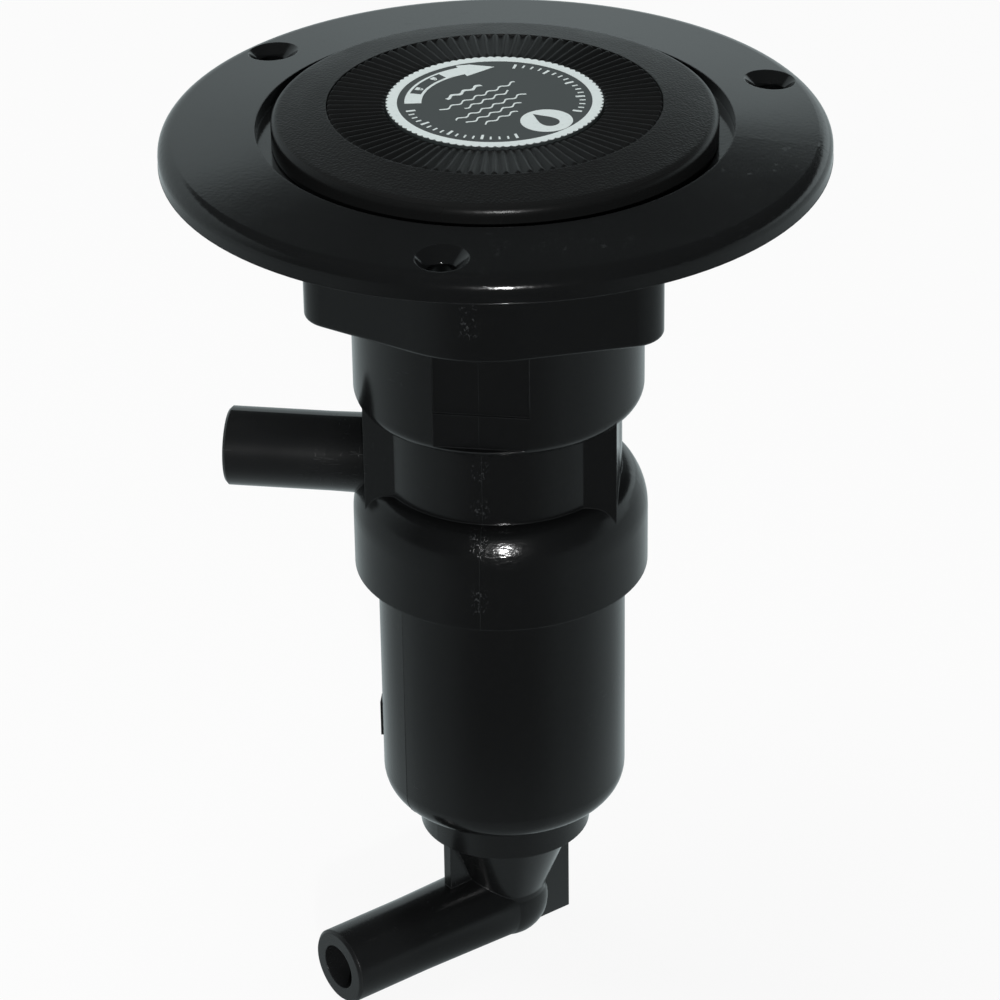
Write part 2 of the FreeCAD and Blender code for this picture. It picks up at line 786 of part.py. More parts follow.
def make_foot_button():
    """Domed button with a skirt, a hub, a locking skirt with three lugs and ribs under the plate."""
    body = new_body("foot_button")
    low = size("recess_floor") + size("rest_gap")
    under = size("rib_floor") - size("button_plate")
    label_floor = size("label_top") - size("label_thick")
    lock_low = -size("ledge_top") - size("ledge_thick") - size("rest_gap") - size("lock_lug_thick")
    skirt_inner = button_radius() - size("skirt_wall")
    lock_inner = lock_skirt() - size("lock_skirt_wall")
    turn(body, "shell", [
        (size("spigot_radius") + size("running_gap"), -size("hub_drop")),
        (size("hub_radius"), -size("hub_drop")), (size("hub_radius"), under),
        (lock_inner, under), (lock_inner, lock_low), (lock_skirt(), lock_low),
        (lock_skirt(), under), (skirt_inner, under), (skirt_inner, low),
        (button_radius(), low), (button_radius(), size("button_edge")),
        (crown_radius(), size("button_crown")), (crown_radius(), size("rib_floor")),
        (size("label_radius") + size("label_fit"), size("rib_floor")),
        (size("label_radius") + size("label_fit"), label_floor),
        (size("hub_pocket"), label_floor), (size("hub_pocket"), size("hub_pocket_floor")),
        (size("spigot_radius") + size("running_gap"), size("hub_pocket_floor"))])
    rim = ring_edges(body, button_radius(), size("button_edge"))
    round_edges(body, "edge_rounding", rim, size("button_round"))
    lug = pad(body, "lock_lug", sector(
        lock_skirt() - size("lock_skirt_wall") / 2, lock_skirt() + size("lock_lug_reach"),
        size("lock_lug_angle"), 60.0), lock_low, size("lock_lug_thick"))
    repeat(body, "lock_lugs", [lug], 3)
    rib_low = body_screw_top() + size("rest_gap")
    rib = primitive(body, "AdditiveBox", "under_rib", {
        "Length": skirt_inner - lock_skirt() + size("lock_skirt_wall"),
        "Width": size("under_rib_thick"), "Height": under - rib_low},
        (lock_skirt() - size("lock_skirt_wall") / 2, -size("under_rib_thick") / 2, rib_low))
    repeat(body, "under_ribs", [rib], 6)
    return body


def make_plunger_pieces():
    """Rod, its screw and washers, spring clip, piston, seal, flap stop and nut."""
    collar_top = seal_plate_low() - size("stroke") - size("rest_gap")
    rod = simple_turn("plunger_rod", [
        (0, -size("stud_end")), (size("stud_radius"), -size("stud_end")),
        (size("stud_radius"), -size("rod_end")), (size("rod_collar"), -size("rod_end")),
        (size("rod_collar"), collar_top), (size("rod_radius"), collar_top),
        (size("rod_radius"), clip_low()), (size("clip_groove"), clip_low()),
        (size("clip_groove"), clip_low() + size("clip_thick")),
        (size("rod_radius"), clip_low() + size("clip_thick")),
        (size("rod_radius"), -size("rod_shoulder")), (size("spigot_radius"), -size("rod_shoulder")),
        (size("spigot_radius"), size("spigot_top")),
        (size("thread_radius") + size("seat_gap"), size("spigot_top")),
        (size("thread_radius") + size("seat_gap"), size("spigot_top") - size("thread_depth")),
        (0, size("spigot_top") - size("thread_depth"))])
    washer_top = size("spigot_top") + size("button_washer_thick")
    washer("button_washer", size("thread_radius") + size("seat_gap"), size("button_washer_radius"),
           size("spigot_top"), washer_top)
    screw = simple_turn("button_screw", [
        (0, size("spigot_top") - size("thread_depth") + 2),
        (size("thread_radius"), size("spigot_top") - size("thread_depth") + 2),
        (size("thread_radius"), washer_top), (size("button_screw_head"), washer_top),
        (size("button_screw_head"), washer_top + size("button_screw_head_thick")),
        (0, washer_top + size("button_screw_head_thick"))])
    slot(screw, size("button_screw_head"), washer_top + size("button_screw_head_thick"))
    washer("spring_clip", size("clip_groove") + size("seat_gap"), size("clip_radius"),
           clip_low() + size("seat_gap"), clip_low() + size("clip_thick") - size("seat_gap"))
    washer("spring_washer", size("rod_radius") + size("seat_gap"), spring_washer_radius(),
           clip_low() - size("spring_washer_thick"), clip_low())
    make_piston()
    return rod


def clip_low():
    """Height of the lower face of the clip's groove in the rod."""
    return -size("rod_shoulder") - size("clip_thick") * 2


def seal_plate_low():
    """Height of the underside of the plate that holds the rod seal."""
    seal = size("bush_length") + size("rod_seal_length") + size("seat_gap") * 2
    return -size("chamber_floor") - seal - size("seal_plate_thick")


def slot(body, radius, top):
    """Cuts a driver's slot across a screw head."""
    primitive(body, "SubtractiveBox", body.Label + "_slot", {
        "Length": radius * 2 + 1, "Width": radius / 4, "Height": radius / 4 + 1},
        (-radius - 0.5, radius / -8, top - radius / 4))


def make_piston():
    """Piston disc with ports, its seal, the transfer flap with its stop and the nut."""
    outer = piston_radius()
    top = piston_top()
    low = top - size("piston_height")
    groove_top = top - size("seal_groove_drop")
    groove_low = groove_top - size("seal_groove_height")
    boss_top = -size("rod_end") - size("stop_thick")
    nut_top = -size("stud_end") + size("nut_thick")
    bore = size("stud_radius") + size("seat_gap")
    body = simple_turn("piston", [
        (bore, nut_top), (size("nut_radius") + 1, nut_top), (size("nut_radius") + 1, low),
        (outer, low), (outer, groove_low), (seal_groove(), groove_low),
        (seal_groove(), groove_top), (outer, groove_top), (outer, top),
        (size("boss_radius"), top), (size("boss_radius"), boss_top), (bore, boss_top)])
    port = primitive(body, "SubtractiveCylinder", "port", {
        "Radius": size("port_radius"), "Height": size("piston_height") + 2},
        (0, -size("port_circle"), low - 1))
    repeat(body, "ports", [port], 6)
    seal_outer = size("cup_radius") - size("cup_wall") - size("seal_gap")
    lip = size("seal_groove_height") / 3
    simple_turn("piston_seal", [
        (seal_groove() + size("seat_gap"), groove_low + size("seat_gap")),
        (outer, groove_low + size("seat_gap")), (seal_outer, groove_low + lip),
        (seal_outer, groove_low + lip * 2), (outer, groove_top - size("seat_gap")),
        (seal_groove() + size("seat_gap"), groove_top - size("seat_gap"))])
    washer("transfer_flap", size("boss_radius") + size("running_gap"), size("flap_radius"),
           top + size("seat_gap"), top + size("seat_gap") + size("flap_thick"))
    washer("flap_stop", bore, size("stop_radius"), boss_top, -size("rod_end"))
    nut = new_body("piston_nut")
    corners = [polar(size("nut_radius"), 60.0 * step) for step in range(6)]
    pad(nut, "hexagon", corners, nut_top - size("nut_thick"), size("nut_thick"))
    primitive(nut, "SubtractiveCylinder", "thread", {"Radius": bore, "Height": size("nut_thick") + 2},
              (0, 0, nut_top - size("nut_thick") - 1))


def make_guides():
    """Bush, seal and plate around the rod, spring seat and the two body seals."""
    floor = -size("chamber_floor")
    rod_way = size("rod_radius") + size("running_gap")
    simple_turn("rod_bush", [
        (rod_way, floor - size("bush_length")), (size("bush_radius"), floor - size("bush_length")),
        (size("bush_radius"), floor), (size("bush_flange"), floor),
        (size("bush_flange"), floor + size("bush_flange_thick")),
        (rod_way, floor + size("bush_flange_thick"))])
    seal_top = floor - size("bush_length") - size("seat_gap")
    seal_low = seal_top - size("rod_seal_length")
    simple_turn("rod_seal", [
        (rod_way, seal_low), (size("rod_seal_radius"), seal_low), (size("rod_seal_radius"), seal_top),
        (rod_way + 1, seal_top), (rod_way + 1, seal_top - size("rod_seal_length") / 3),
        (rod_way, seal_top - size("rod_seal_length") / 2)])
    washer("seal_plate", rod_way + size("rest_gap"), size("seal_plate_radius"),
           seal_plate_low(), seal_plate_low() + size("seal_plate_thick"))
    washer("spring_seat", size("bush_flange") + size("rest_gap"), spring_washer_radius(),
           floor, floor + size("spring_seat_thick"))
    make_ring("neck_ring", size("barrel_radius"), -size("neck_ring_drop"))
    make_ring("cup_ring", size("cup_radius"), -size("cup_ring_drop"))


def make_ring(label, radius, level):
    """Round seal set in a groove around a wall of this radius."""
    ring = document.addObject("Part::Torus", label)
    ring.Label = label
    section = size("ring_section") / 2
    bind(ring, "Radius1", radius - size("ring_section") + section + size("seat_gap"))
    bind(ring, "Radius2", section)
    bind(ring, "Placement.Base.z", level)
    return ring


def make_valve():
    """Inlet valve: ported seat, loose rubber disc and the stem that holds it."""
    seat_top = -size("cup_end") + size("cup_floor") - size("seat_gap")
    seat_low = seat_top - size("valve_seat_thick")
    body = washer("inlet_valve_seat", size("stem_radius") + size("seat_gap"), valve_seat_radius(),
                  seat_low, seat_top)
    port = primitive(body, "SubtractiveCylinder", "port", {
        "Radius": size("valve_port"), "Height": size("valve_seat_thick") + 2},
        (0, -valve_port_circle(), seat_low - 1))
    repeat(body, "ports", [port], 6)
    disc_low = seat_top + size("seat_gap")
    disc_top = disc_low + size("flap_thick")
    washer("inlet_flap", size("stem_collar") + size("running_gap"), inlet_flap_radius(),
           disc_low, disc_top)
    head_low = disc_top + size("inlet_flap_lift") + size("rest_gap")
    simple_turn("inlet_valve_stem", [
        (0, seat_low - 1), (size("stem_radius"), seat_low - 1), (size("stem_radius"), seat_top),
        (size("stem_collar"), seat_top), (size("stem_collar"), head_low),
        (size("stem_head"), head_low), (size("stem_head"), head_low + size("stem_head_thick")),
        (0, head_low + size("stem_head_thick"))])


def make_body_screws():
    """Four screws that hold the barrel's lip to the deck plate."""
    head_low = size("recess_floor") - size("seat_gap")
    head_top = body_screw_top()
    for label, angle in BODY_SCREW_ANGLES:
        place = polar(body_screw_circle(), angle)
        screw = simple_turn(label, [
            (0, lip_seat() - size("body_screw_length") + 1),
            (size("body_screw_radius"), lip_seat() - size("body_screw_length") + 1),
            (size("body_screw_radius"), head_low), (size("body_screw_head"), head_low),
            (size("body_screw_head"), head_top), (0, head_top)])
        slot(screw, size("body_screw_head"), head_top)
        screw.Placement = FreeCAD.Placement(
            Vector(place[0].value, place[1].value, 0), FreeCAD.Rotation())


def coil_points(low, high):
    """Quarter-turn stations of the spring's centre line: place and direction."""
    turns = int(SIZES["spring_turns"])
    tight = SIZES["spring_end_pitch"]
    steps = 32
    radius = spring_washer_radius().value - SIZES["spring_inset"]
    open_share = []
    for step in range(turns * steps + 1):
        from_end = min(step, turns * steps - step) / steps
        ramp = min(max(from_end - 0.75, 0.0), 1.0)
        open_share.append(ramp * ramp * (3 - 2 * ramp))
    total = sum((open_share[i] + open_share[i + 1]) / 2 for i in range(turns * steps)) / steps
    wide = tight + (high - low - tight * turns) / total
    level = low
    stations = []
    for step in range(turns * steps + 1):
        if step:
            share = (open_share[step - 1] + open_share[step]) / 2
            level += (tight + (wide - tight) * share) / steps
        if step % (steps // 4) == 0:
            angle = 2 * math.pi * step / steps
            pitch = tight + (wide - tight) * open_share[step]
            place = Vector(radius * math.cos(angle), radius * math.sin(angle), level)
            way = Vector(-radius * math.sin(angle), radius * math.cos(angle), pitch / (2 * math.pi))
            stations.append((place, way.normalize()))
    return stations


def arc_between(first, corner, last):
    """Arc that leaves first towards corner and reaches last from corner."""
    half = (last - first) * 0.5
    middle = first + half
    leg = (corner - first).Length
    lean = math.acos(min(1.0, half.Length / leg))
    rise = half.Length * math.tan(lean / 2)
    outward = corner - middle
    return Part.Arc(first, middle + outward * (rise / outward.Length), last).toShape()


def biarcs(stations):
    """Pairs of arcs that join each station to the next without a kink."""
    edges = []
    for (first, way_out), (last, way_in) in zip(stations, stations[1:]):
        gap = last - first
        spread = 2 * (1 - way_out.dot(way_in))
        reach = gap.dot(way_out + way_in)
        leg = (math.sqrt(reach * reach + spread * gap.dot(gap)) - reach) / spread
        near = first + way_out * leg
        far = last - way_in * leg
        middle = (near + far) * 0.5
        edges.append(arc_between(first, near, middle))
        edges.append(arc_between(middle, far, last))
    return edges


def make_spring():
    """Return spring: one unbroken wire with close turns at both ends."""
    wire = SIZES["spring_wire"]
    low = spring_low().value + wire
    high = clip_low().value - SIZES["spring_washer_thick"] - wire
    stations = coil_points(low, high)
    path = Part.Wire(biarcs(stations))
    section = Part.Wire([Part.Circle(stations[0][0], stations[0][1], wire).toShape()])
    shape = path.makePipeShell([section], True, False)
    length = path.Length
    print("spring: wire length %.1f, volume share %.4f, least gap %.2f" % (
        length, shape.Volume / (math.pi * wire * wire * length), coil_gap(path, wire)))
    spring = document.addObject("Part::Feature", "return_spring")
    spring.Label = "return_spring"
    spring.Shape = shape
    spring.Placement = FreeCAD.Placement()
    return spring


def spring_low():
    """Height of the spring's lower end."""
    return -size("chamber_floor") + size("spring_seat_thick")


def coil_gap(path, wire):
    """Least gap between the wire and its neighbouring turns, measured on points."""
    points = []
    for edge in path.Edges:
        points.extend(edge.discretize(Number=5)[:-1])
    far = round(0.5 * len(points) / SIZES["spring_turns"])
    least = 1e9
    for index, point in enumerate(points):
        for other in points[index + far:]:
            least = min(least, point.distanceToPoint(other))
    return least - 2 * wire


def make_label():
    """Round label let into the middle of the button."""
    return simple_turn("label_disc", [
        (0, size("label_top") - size("label_thick")),
        (size("label_radius"), size("label_top") - size("label_thick")),
        (size("label_radius"), size("label_top")), (0, size("label_top"))])


NODES = (
    "deck_plate", "pump_body", "lower_cylinder", "foot_button", "label_disc", "button_screw",
    "button_washer", "plunger_rod", "spring_clip", "spring_washer", "return_spring", "spring_seat",
    "rod_bush", "rod_seal", "seal_plate", "neck_ring", "cup_ring", "piston", "piston_seal",
    "transfer_flap", "flap_stop", "piston_nut", "inlet_valve_seat", "inlet_flap", "inlet_valve_stem",
    "body_screw_1", "body_screw_2", "body_screw_3", "body_screw_4",
)


def check_document():
    """Stops if any object failed or any sub-part has no valid solid."""
    for item in document.Objects:
        if "Invalid" in item.State or "Error" in item.State:
            raise RuntimeError("%s failed: %s" % (item.Label, item.State))
    for label in NODES:
        shape = document.getObjectsByLabel(label)[0].Shape
        if shape.isNull() or not shape.isValid() or len(shape.Solids) != 1:
            raise RuntimeError("%s has no single valid solid" % label)


def write_steps():
    """Writes one STEP file for each sub-part."""
    os.makedirs("parts", exist_ok=True)
    for label in NODES:
        document.getObjectsByLabel(label)[0].Shape.exportStep("parts/%s.step" % label)


def main():
    """Builds every sub-part, checks it and writes it."""
    make_deck_plate()
    make_pump_body()
    make_lower_cylinder()
    make_foot_button()
    make_label()
    make_plunger_pieces()
    make_guides()
    make_valve()
    make_body_screws()
    make_spring()
    document.recompute()
    check_document()
    write_steps()


main()
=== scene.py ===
"""Looks of a through-deck plunger pump: finishes, button ribs, printed label, mould marks and studio."""
import logging
import math
from dataclasses import dataclass, field
from enum import Enum
from typing import Any, Sequence

import bmesh
import bpy
from mathutils import Matrix, Vector


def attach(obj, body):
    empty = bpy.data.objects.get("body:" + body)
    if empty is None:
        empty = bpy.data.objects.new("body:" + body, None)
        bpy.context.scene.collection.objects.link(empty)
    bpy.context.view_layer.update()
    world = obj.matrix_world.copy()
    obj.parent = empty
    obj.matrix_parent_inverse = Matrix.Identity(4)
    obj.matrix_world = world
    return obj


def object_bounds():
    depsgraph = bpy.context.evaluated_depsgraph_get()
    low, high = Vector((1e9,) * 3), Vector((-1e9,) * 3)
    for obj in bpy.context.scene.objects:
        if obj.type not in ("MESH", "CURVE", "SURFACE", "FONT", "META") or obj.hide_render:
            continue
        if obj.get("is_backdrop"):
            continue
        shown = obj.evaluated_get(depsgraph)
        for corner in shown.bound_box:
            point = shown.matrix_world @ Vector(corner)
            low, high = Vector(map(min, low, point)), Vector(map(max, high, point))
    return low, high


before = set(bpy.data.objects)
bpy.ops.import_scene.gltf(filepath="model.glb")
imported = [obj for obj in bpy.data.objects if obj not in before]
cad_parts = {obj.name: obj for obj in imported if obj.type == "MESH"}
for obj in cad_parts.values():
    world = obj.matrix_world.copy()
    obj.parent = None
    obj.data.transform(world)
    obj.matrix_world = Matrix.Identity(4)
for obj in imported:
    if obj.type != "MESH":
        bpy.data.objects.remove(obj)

LOG = logging.getLogger("pump")
MM = 0.001
FLOOR_GAP = 0.2 * MM
Flat = tuple[float, float]
Spot = tuple[float, float, float]


class Body(Enum):
    """Rigid bodies that carry the pieces made here."""

    HOUSING = "housing"
    BUTTON = "button"


class Facing(Enum):
    """Places around the pump where its moulds parted, as angles in degrees from the front towards +X."""

    BODY_FRONT = 0.0
    BODY_BACK = 180.0
    CUP_FRONT = -45.0
    CUP_BACK = 135.0


class Signal:
    """A socket of a material's nodes that works in plain expressions."""

    def __init__(self, graph: "Graph", socket: bpy.types.NodeSocket) -> None:
        """Holds the socket.

        Args:
            graph: The material's graph.
            socket: The output socket that this signal stands for.
        """
        self.graph = graph
        self.socket = socket

    def maths(self, operation: str, *others: "Signal | float") -> "Signal":
        """Adds a Math node.

        Args:
            operation: Name of the Math operation.
            others: Further operands.

        Returns:
            The result.
        """
        return self.graph.node("ShaderNodeMath", {"operation": operation}, self, *others)

    def __add__(self, other: "Signal | float") -> "Signal":
        """Sum."""
        return self.maths("ADD", other)

    def __radd__(self, other: float) -> "Signal":
        """Sum with a number in front."""
        return self + other

    def __sub__(self, other: "Signal | float") -> "Signal":
        """Difference."""
        return self.maths("SUBTRACT", other)

    def __rsub__(self, other: float) -> "Signal":
        """Number less this signal."""
        return self.graph.node("ShaderNodeMath", {"operation": "SUBTRACT"}, other, self)

    def __mul__(self, other: "Signal | float") -> "Signal":
        """Product."""
        return self.maths("MULTIPLY", other)

    def __rmul__(self, other: float) -> "Signal":
        """Product with a number in front."""
        return self * other

    def __abs__(self) -> "Signal":
        """Size without sign."""
        return self.maths("ABSOLUTE")

    def ramp(self, low: float, high: float) -> "Signal":
        """Rises smoothly from 0 to 1.

        Args:
            low: Input that gives 0.
            high: Input that gives 1; below low, the signal falls instead.

        Returns:
            The mask.
        """
        return self.graph.node(
            "ShaderNodeMapRange", {"interpolation_type": "SMOOTHSTEP", "clamp": True}, self, low, high)

    def band(self, span: Flat, blur: float) -> "Signal":
        """Mask of the values from the low to the high end of a span, blurred by this much at each end."""
        low, high = span
        return self.ramp(low - blur, low + blur) * self.ramp(high + blur, high - blur)

    def stretched(self, across: Spot) -> "Signal":
        """Scales a vector signal axis by axis."""
        return self.graph.node("ShaderNodeVectorMath", {"operation": "MULTIPLY"}, self, across)

    def level(self) -> "Signal":
        """Level part of a vector signal."""
        return self.stretched((1.0, 1.0, 0.0))

    def dot(self, other: "Signal | Spot") -> "Signal":
        """Dot product of a vector signal and another vector."""
        return self.graph.node(
            "ShaderNodeVectorMath", {"operation": "DOT_PRODUCT"}, self, other, output="Value")


class Graph:
    """Builds the nodes of one material or of the world."""

    def __init__(self, owner: bpy.types.Material | bpy.types.World) -> None:
        """Starts an empty node tree.

        Args:
            owner: Material or world that the nodes belong to.
        """
        owner.use_nodes = True
        self.owner = owner
        self.tree = owner.node_tree
        self.tree.nodes.clear()

    @classmethod
    def paint(cls, name: str) -> "Graph":
        """Starts a material of this name."""
        return cls(bpy.data.materials.new(name))

    def add(self, kind: str, settings: dict[str, Any] | None = None,
            *values: Any, **named: Any) -> bpy.types.Node:
        """Adds any node.

        Args:
            kind: Node type.
            settings: Properties set before the sockets.
            values: Values or signals of the first sockets, in order.
            named: Values or signals of sockets by name, with spaces as underscores.

        Returns:
            The node.
        """
        made = self.tree.nodes.new(kind)
        for key, value in (settings or {}).items():
            setattr(made, key, value)
        for index, value in enumerate(values):
            self._feed(made.inputs[index], value)
        for key, value in named.items():
            self._feed(made.inputs[key.replace("_", " ")], value)
        return made

    def node(self, kind: str, settings: dict[str, Any] | None = None,
             *values: Any, output: int | str = 0, **named: Any) -> Signal:
        """Adds any node and gives the signal of one of its outputs."""
        return Signal(self, self.add(kind, settings, *values, **named).outputs[output])

    def _feed(self, socket: bpy.types.NodeSocket, value: Any) -> None:
        """Links a signal or sets a plain value.

        Args:
            socket: Input socket to feed.
            value: Signal, number, vector, or colour without its alpha.
        """
        if isinstance(value, Signal):
            self.tree.links.new(value.socket, socket)
        elif isinstance(value, tuple) and len(value) == 3 and socket.type == "RGBA":
            socket.default_value = (*value, 1.0)
        else:
            socket.default_value = value

    def place(self) -> Signal:
        """Position on the pump in millimetres."""
        spot = self.node("ShaderNodeTexCoord", output="Object")
        return self.node("ShaderNodeVectorMath", {"operation": "SCALE"}, spot, Scale=1.0 / MM)

    def parts(self, vector: Signal) -> tuple[Signal, ...]:
        """Splits a vector into its three numbers."""
        made = self.add("ShaderNodeSeparateXYZ", None, vector)
        return tuple(Signal(self, output) for output in made.outputs)

    def noise(self, spot: Signal, scale: float, detail: float = 2.0, rough: float = 0.5) -> Signal:
        """Soft noise from 0 to 1 over a position."""
        return self.node("ShaderNodeTexNoise", None, Vector=spot, Scale=scale, Detail=detail,
                         Roughness=rough, output="Fac")

    def blend(self, mask: Signal, low: Spot | Signal, high: Spot | Signal) -> Signal:
        """Mixes two colours by a mask.

        Args:
            mask: Share of the second colour.
            low: Colour where the mask is 0.
            high: Colour where the mask is 1.

        Returns:
            The mixed colour.
        """
        made = self.add("ShaderNodeMix", {"data_type": "RGBA"})
        sockets = {socket.identifier: socket for socket in (*made.inputs, *made.outputs)}
        for name, value in (("Factor_Float", mask), ("A_Color", low), ("B_Color", high)):
            self._feed(sockets[name], value)
        return Signal(self, sockets["Result_Color"])

    def soft_edges(self, radius: float) -> Signal:
        """Surface normal with its sharp edges rounded off by this many metres."""
        return self.node("ShaderNodeBevel", {"samples": 4}, radius)

    def worn_edges(self, soft: Signal) -> Signal:
        """Mask of the edges that handling has polished, from the softened normal."""
        hard = self.node("ShaderNodeNewGeometry", output="Normal")
        return (1 - soft.dot(hard)).ramp(0.02, 0.18)

    def bumps(self, height: Signal, depth: float, normal: Signal | None = None) -> Signal:
        """Turns a height signal into a normal.

        Args:
            height: Height from 0 to 1.
            depth: Real depth of the relief in metres.
            normal: Normal to start from.

        Returns:
            The bumped normal.
        """
        extra = {"Normal": normal} if normal else {}
        return self.node("ShaderNodeBump", None, Strength=1.0, Distance=depth, Height=height, **extra)

    def facing(self, direction: Signal, towards: Spot) -> Signal:
        """Cosine of the level angle between a direction and another.

        Args:
            direction: Direction or place; only its level part counts.
            towards: Level direction of length 1.

        Returns:
            1 along the direction, 0 across it and -1 against it.
        """
        unit = self.node("ShaderNodeVectorMath", {"operation": "NORMALIZE"}, direction.level())
        return unit.dot(towards)

    def rays(self) -> tuple[Signal, Signal]:
        """Tells the rays of the camera and of gloss from the others.

        Returns:
            Mask of what the camera sees itself or through clear matter, and mask of what gloss reflects.
        """
        outputs = self.add("ShaderNodeLightPath").outputs
        seen, through, glossy = (Signal(self, outputs[name]) for name in (
            "Is Camera Ray", "Is Transmission Ray", "Is Glossy Ray"))
        return seen.maths("MAXIMUM", through), glossy

    def close(self, shader: Signal, kind: str = "ShaderNodeOutputMaterial") -> None:
        """Ends the tree with a shader."""
        self.add(kind, None, Surface=shader)

    def finish(self, **sockets: Any) -> bpy.types.Material:
        """Ends the material with one Principled shader.

        Args:
            sockets: Values or signals of the shader's sockets.

        Returns:
            The finished material.
        """
        self.close(self.node("ShaderNodeBsdfPrincipled", None, output="BSDF", **sockets))
        return self.owner


@dataclass(frozen=True)
class MouldedPlastic:
    """Dark injection-moulded plastic: slight orange peel, cloudy gloss, hairline scratches, seam scuffs.

    Args:
        name: Name of the material.
        colour: Colour of the clean plastic.
        worn: Colour where it is scratched or rubbed.
        roughness: Roughness of the clean plastic.
        shine: Level of its clear reflection.
        scuffs: Height bands in millimetres with chips beside the front seam.
        filed: Height band in millimetres that was dressed with a file.
        tail: Direction in which the moulding's hose tail points.
        edge: Rounding of its edges in metres.
        relief: Depth of its surface marks in metres.
        seam: Millimetres that the front seam's chips lie to the right of the middle.
    """

    name: str
    colour: Spot = (0.0068, 0.0072, 0.0074)
    worn: Spot = (0.044, 0.047, 0.049)
    roughness: float = 0.17
    shine: float = 0.5
    scuffs: tuple[Flat, ...] = ()
    filed: Flat | None = None
    tail: Spot | None = None
    edge: float = 0.30 * MM
    relief: float = 0.012 * MM
    seam: float = -0.3

    def material(self) -> bpy.types.Material:
        """Builds the finish.

        Returns:
            The finished material.
        """
        graph = Graph.paint(self.name)
        spot = graph.place()
        clouds = graph.noise(spot, scale=0.06, detail=3.0)
        peel = graph.noise(spot, scale=1.3)
        scratch = graph.noise(spot.stretched((0.35, 0.35, 5.0)), scale=1.1).ramp(0.66, 0.72)
        cross = graph.noise(spot.stretched((4.5, 0.6, 0.3)), scale=1.2).ramp(0.68, 0.74)
        marks = (scratch + cross) * clouds.ramp(0.45, 0.7)
        soft = graph.soft_edges(self.edge)
        wear = graph.worn_edges(soft) * graph.noise(spot, scale=0.5, detail=3.0).ramp(0.15, 0.55)
        dust = graph.noise(spot, scale=0.9, detail=4.0, rough=0.65).ramp(0.58, 0.88)
        pale = wear * 0.45 + marks * 0.14 + dust * 0.08
        rough = self.roughness + (clouds - 0.5) * 0.10 + marks * 0.10 + wear * 0.08 + dust * 0.05
        height = peel * 0.5 + marks * -0.4
        if self.scuffs:
            scuff = self._scuffed(graph, spot)
            pale = pale + scuff * 0.9
            rough = rough + scuff * 0.12
            height = height + scuff * 1.6
        if self.filed:
            height = height + self._streaks(graph, spot) * 6.0
        if self.tail:
            rubbed = self._rubbed(spot) * (0.7 + clouds * 0.6)
            pale = pale + rubbed * 0.10
            rough = rough + rubbed * 0.06
        normal = graph.bumps(height, self.relief, soft)
        colour = graph.blend(pale.maths("MINIMUM", 1.0), self.colour, self.worn)
        return graph.finish(Base_Color=colour, Roughness=rough, Normal=normal,
                            Specular_IOR_Level=self.shine)

    def _scuffed(self, graph: Graph, spot: Signal) -> Signal:
        """Small chips and rubbed specks beside the front mould seam.

        Args:
            graph: The material's graph.
            spot: Position on the pump in millimetres.

        Returns:
            Mask of the scuffs.
        """
        across, ahead, up = graph.parts(spot)
        near = abs(across - self.seam).ramp(2.4, 0.2) * ahead.ramp(-15.0, -19.0)
        specks = graph.noise(spot.stretched((1.0, 1.0, 0.7)), scale=2.3, detail=3.0, rough=0.65)
        return near * specks.ramp(0.57, 0.65) * sum(up.band(span, 0.8) for span in self.scuffs)

    def _streaks(self, graph: Graph, spot: Signal) -> Signal:
        """Shallow streaks where the front of the seam was dressed with a file.

        Args:
            graph: The material's graph.
            spot: Position on the pump in millimetres.

        Returns:
            Height of the streaks, up to 1.
        """
        across, ahead, up = graph.parts(spot)
        zone = abs(across - 0.8).ramp(10.0, 4.0) * ahead.ramp(-12.0, -16.0) * up.band(self.filed, 1.2)
        return zone * graph.noise(spot.stretched((0.8, 0.8, 1.6)), scale=1.0, rough=0.6)

    def _rubbed(self, spot: Signal) -> Signal:
        """Mask of the hose tail, which hoses have rubbed dull."""
        return spot.dot(self.tail).ramp(23.0, 31.0)


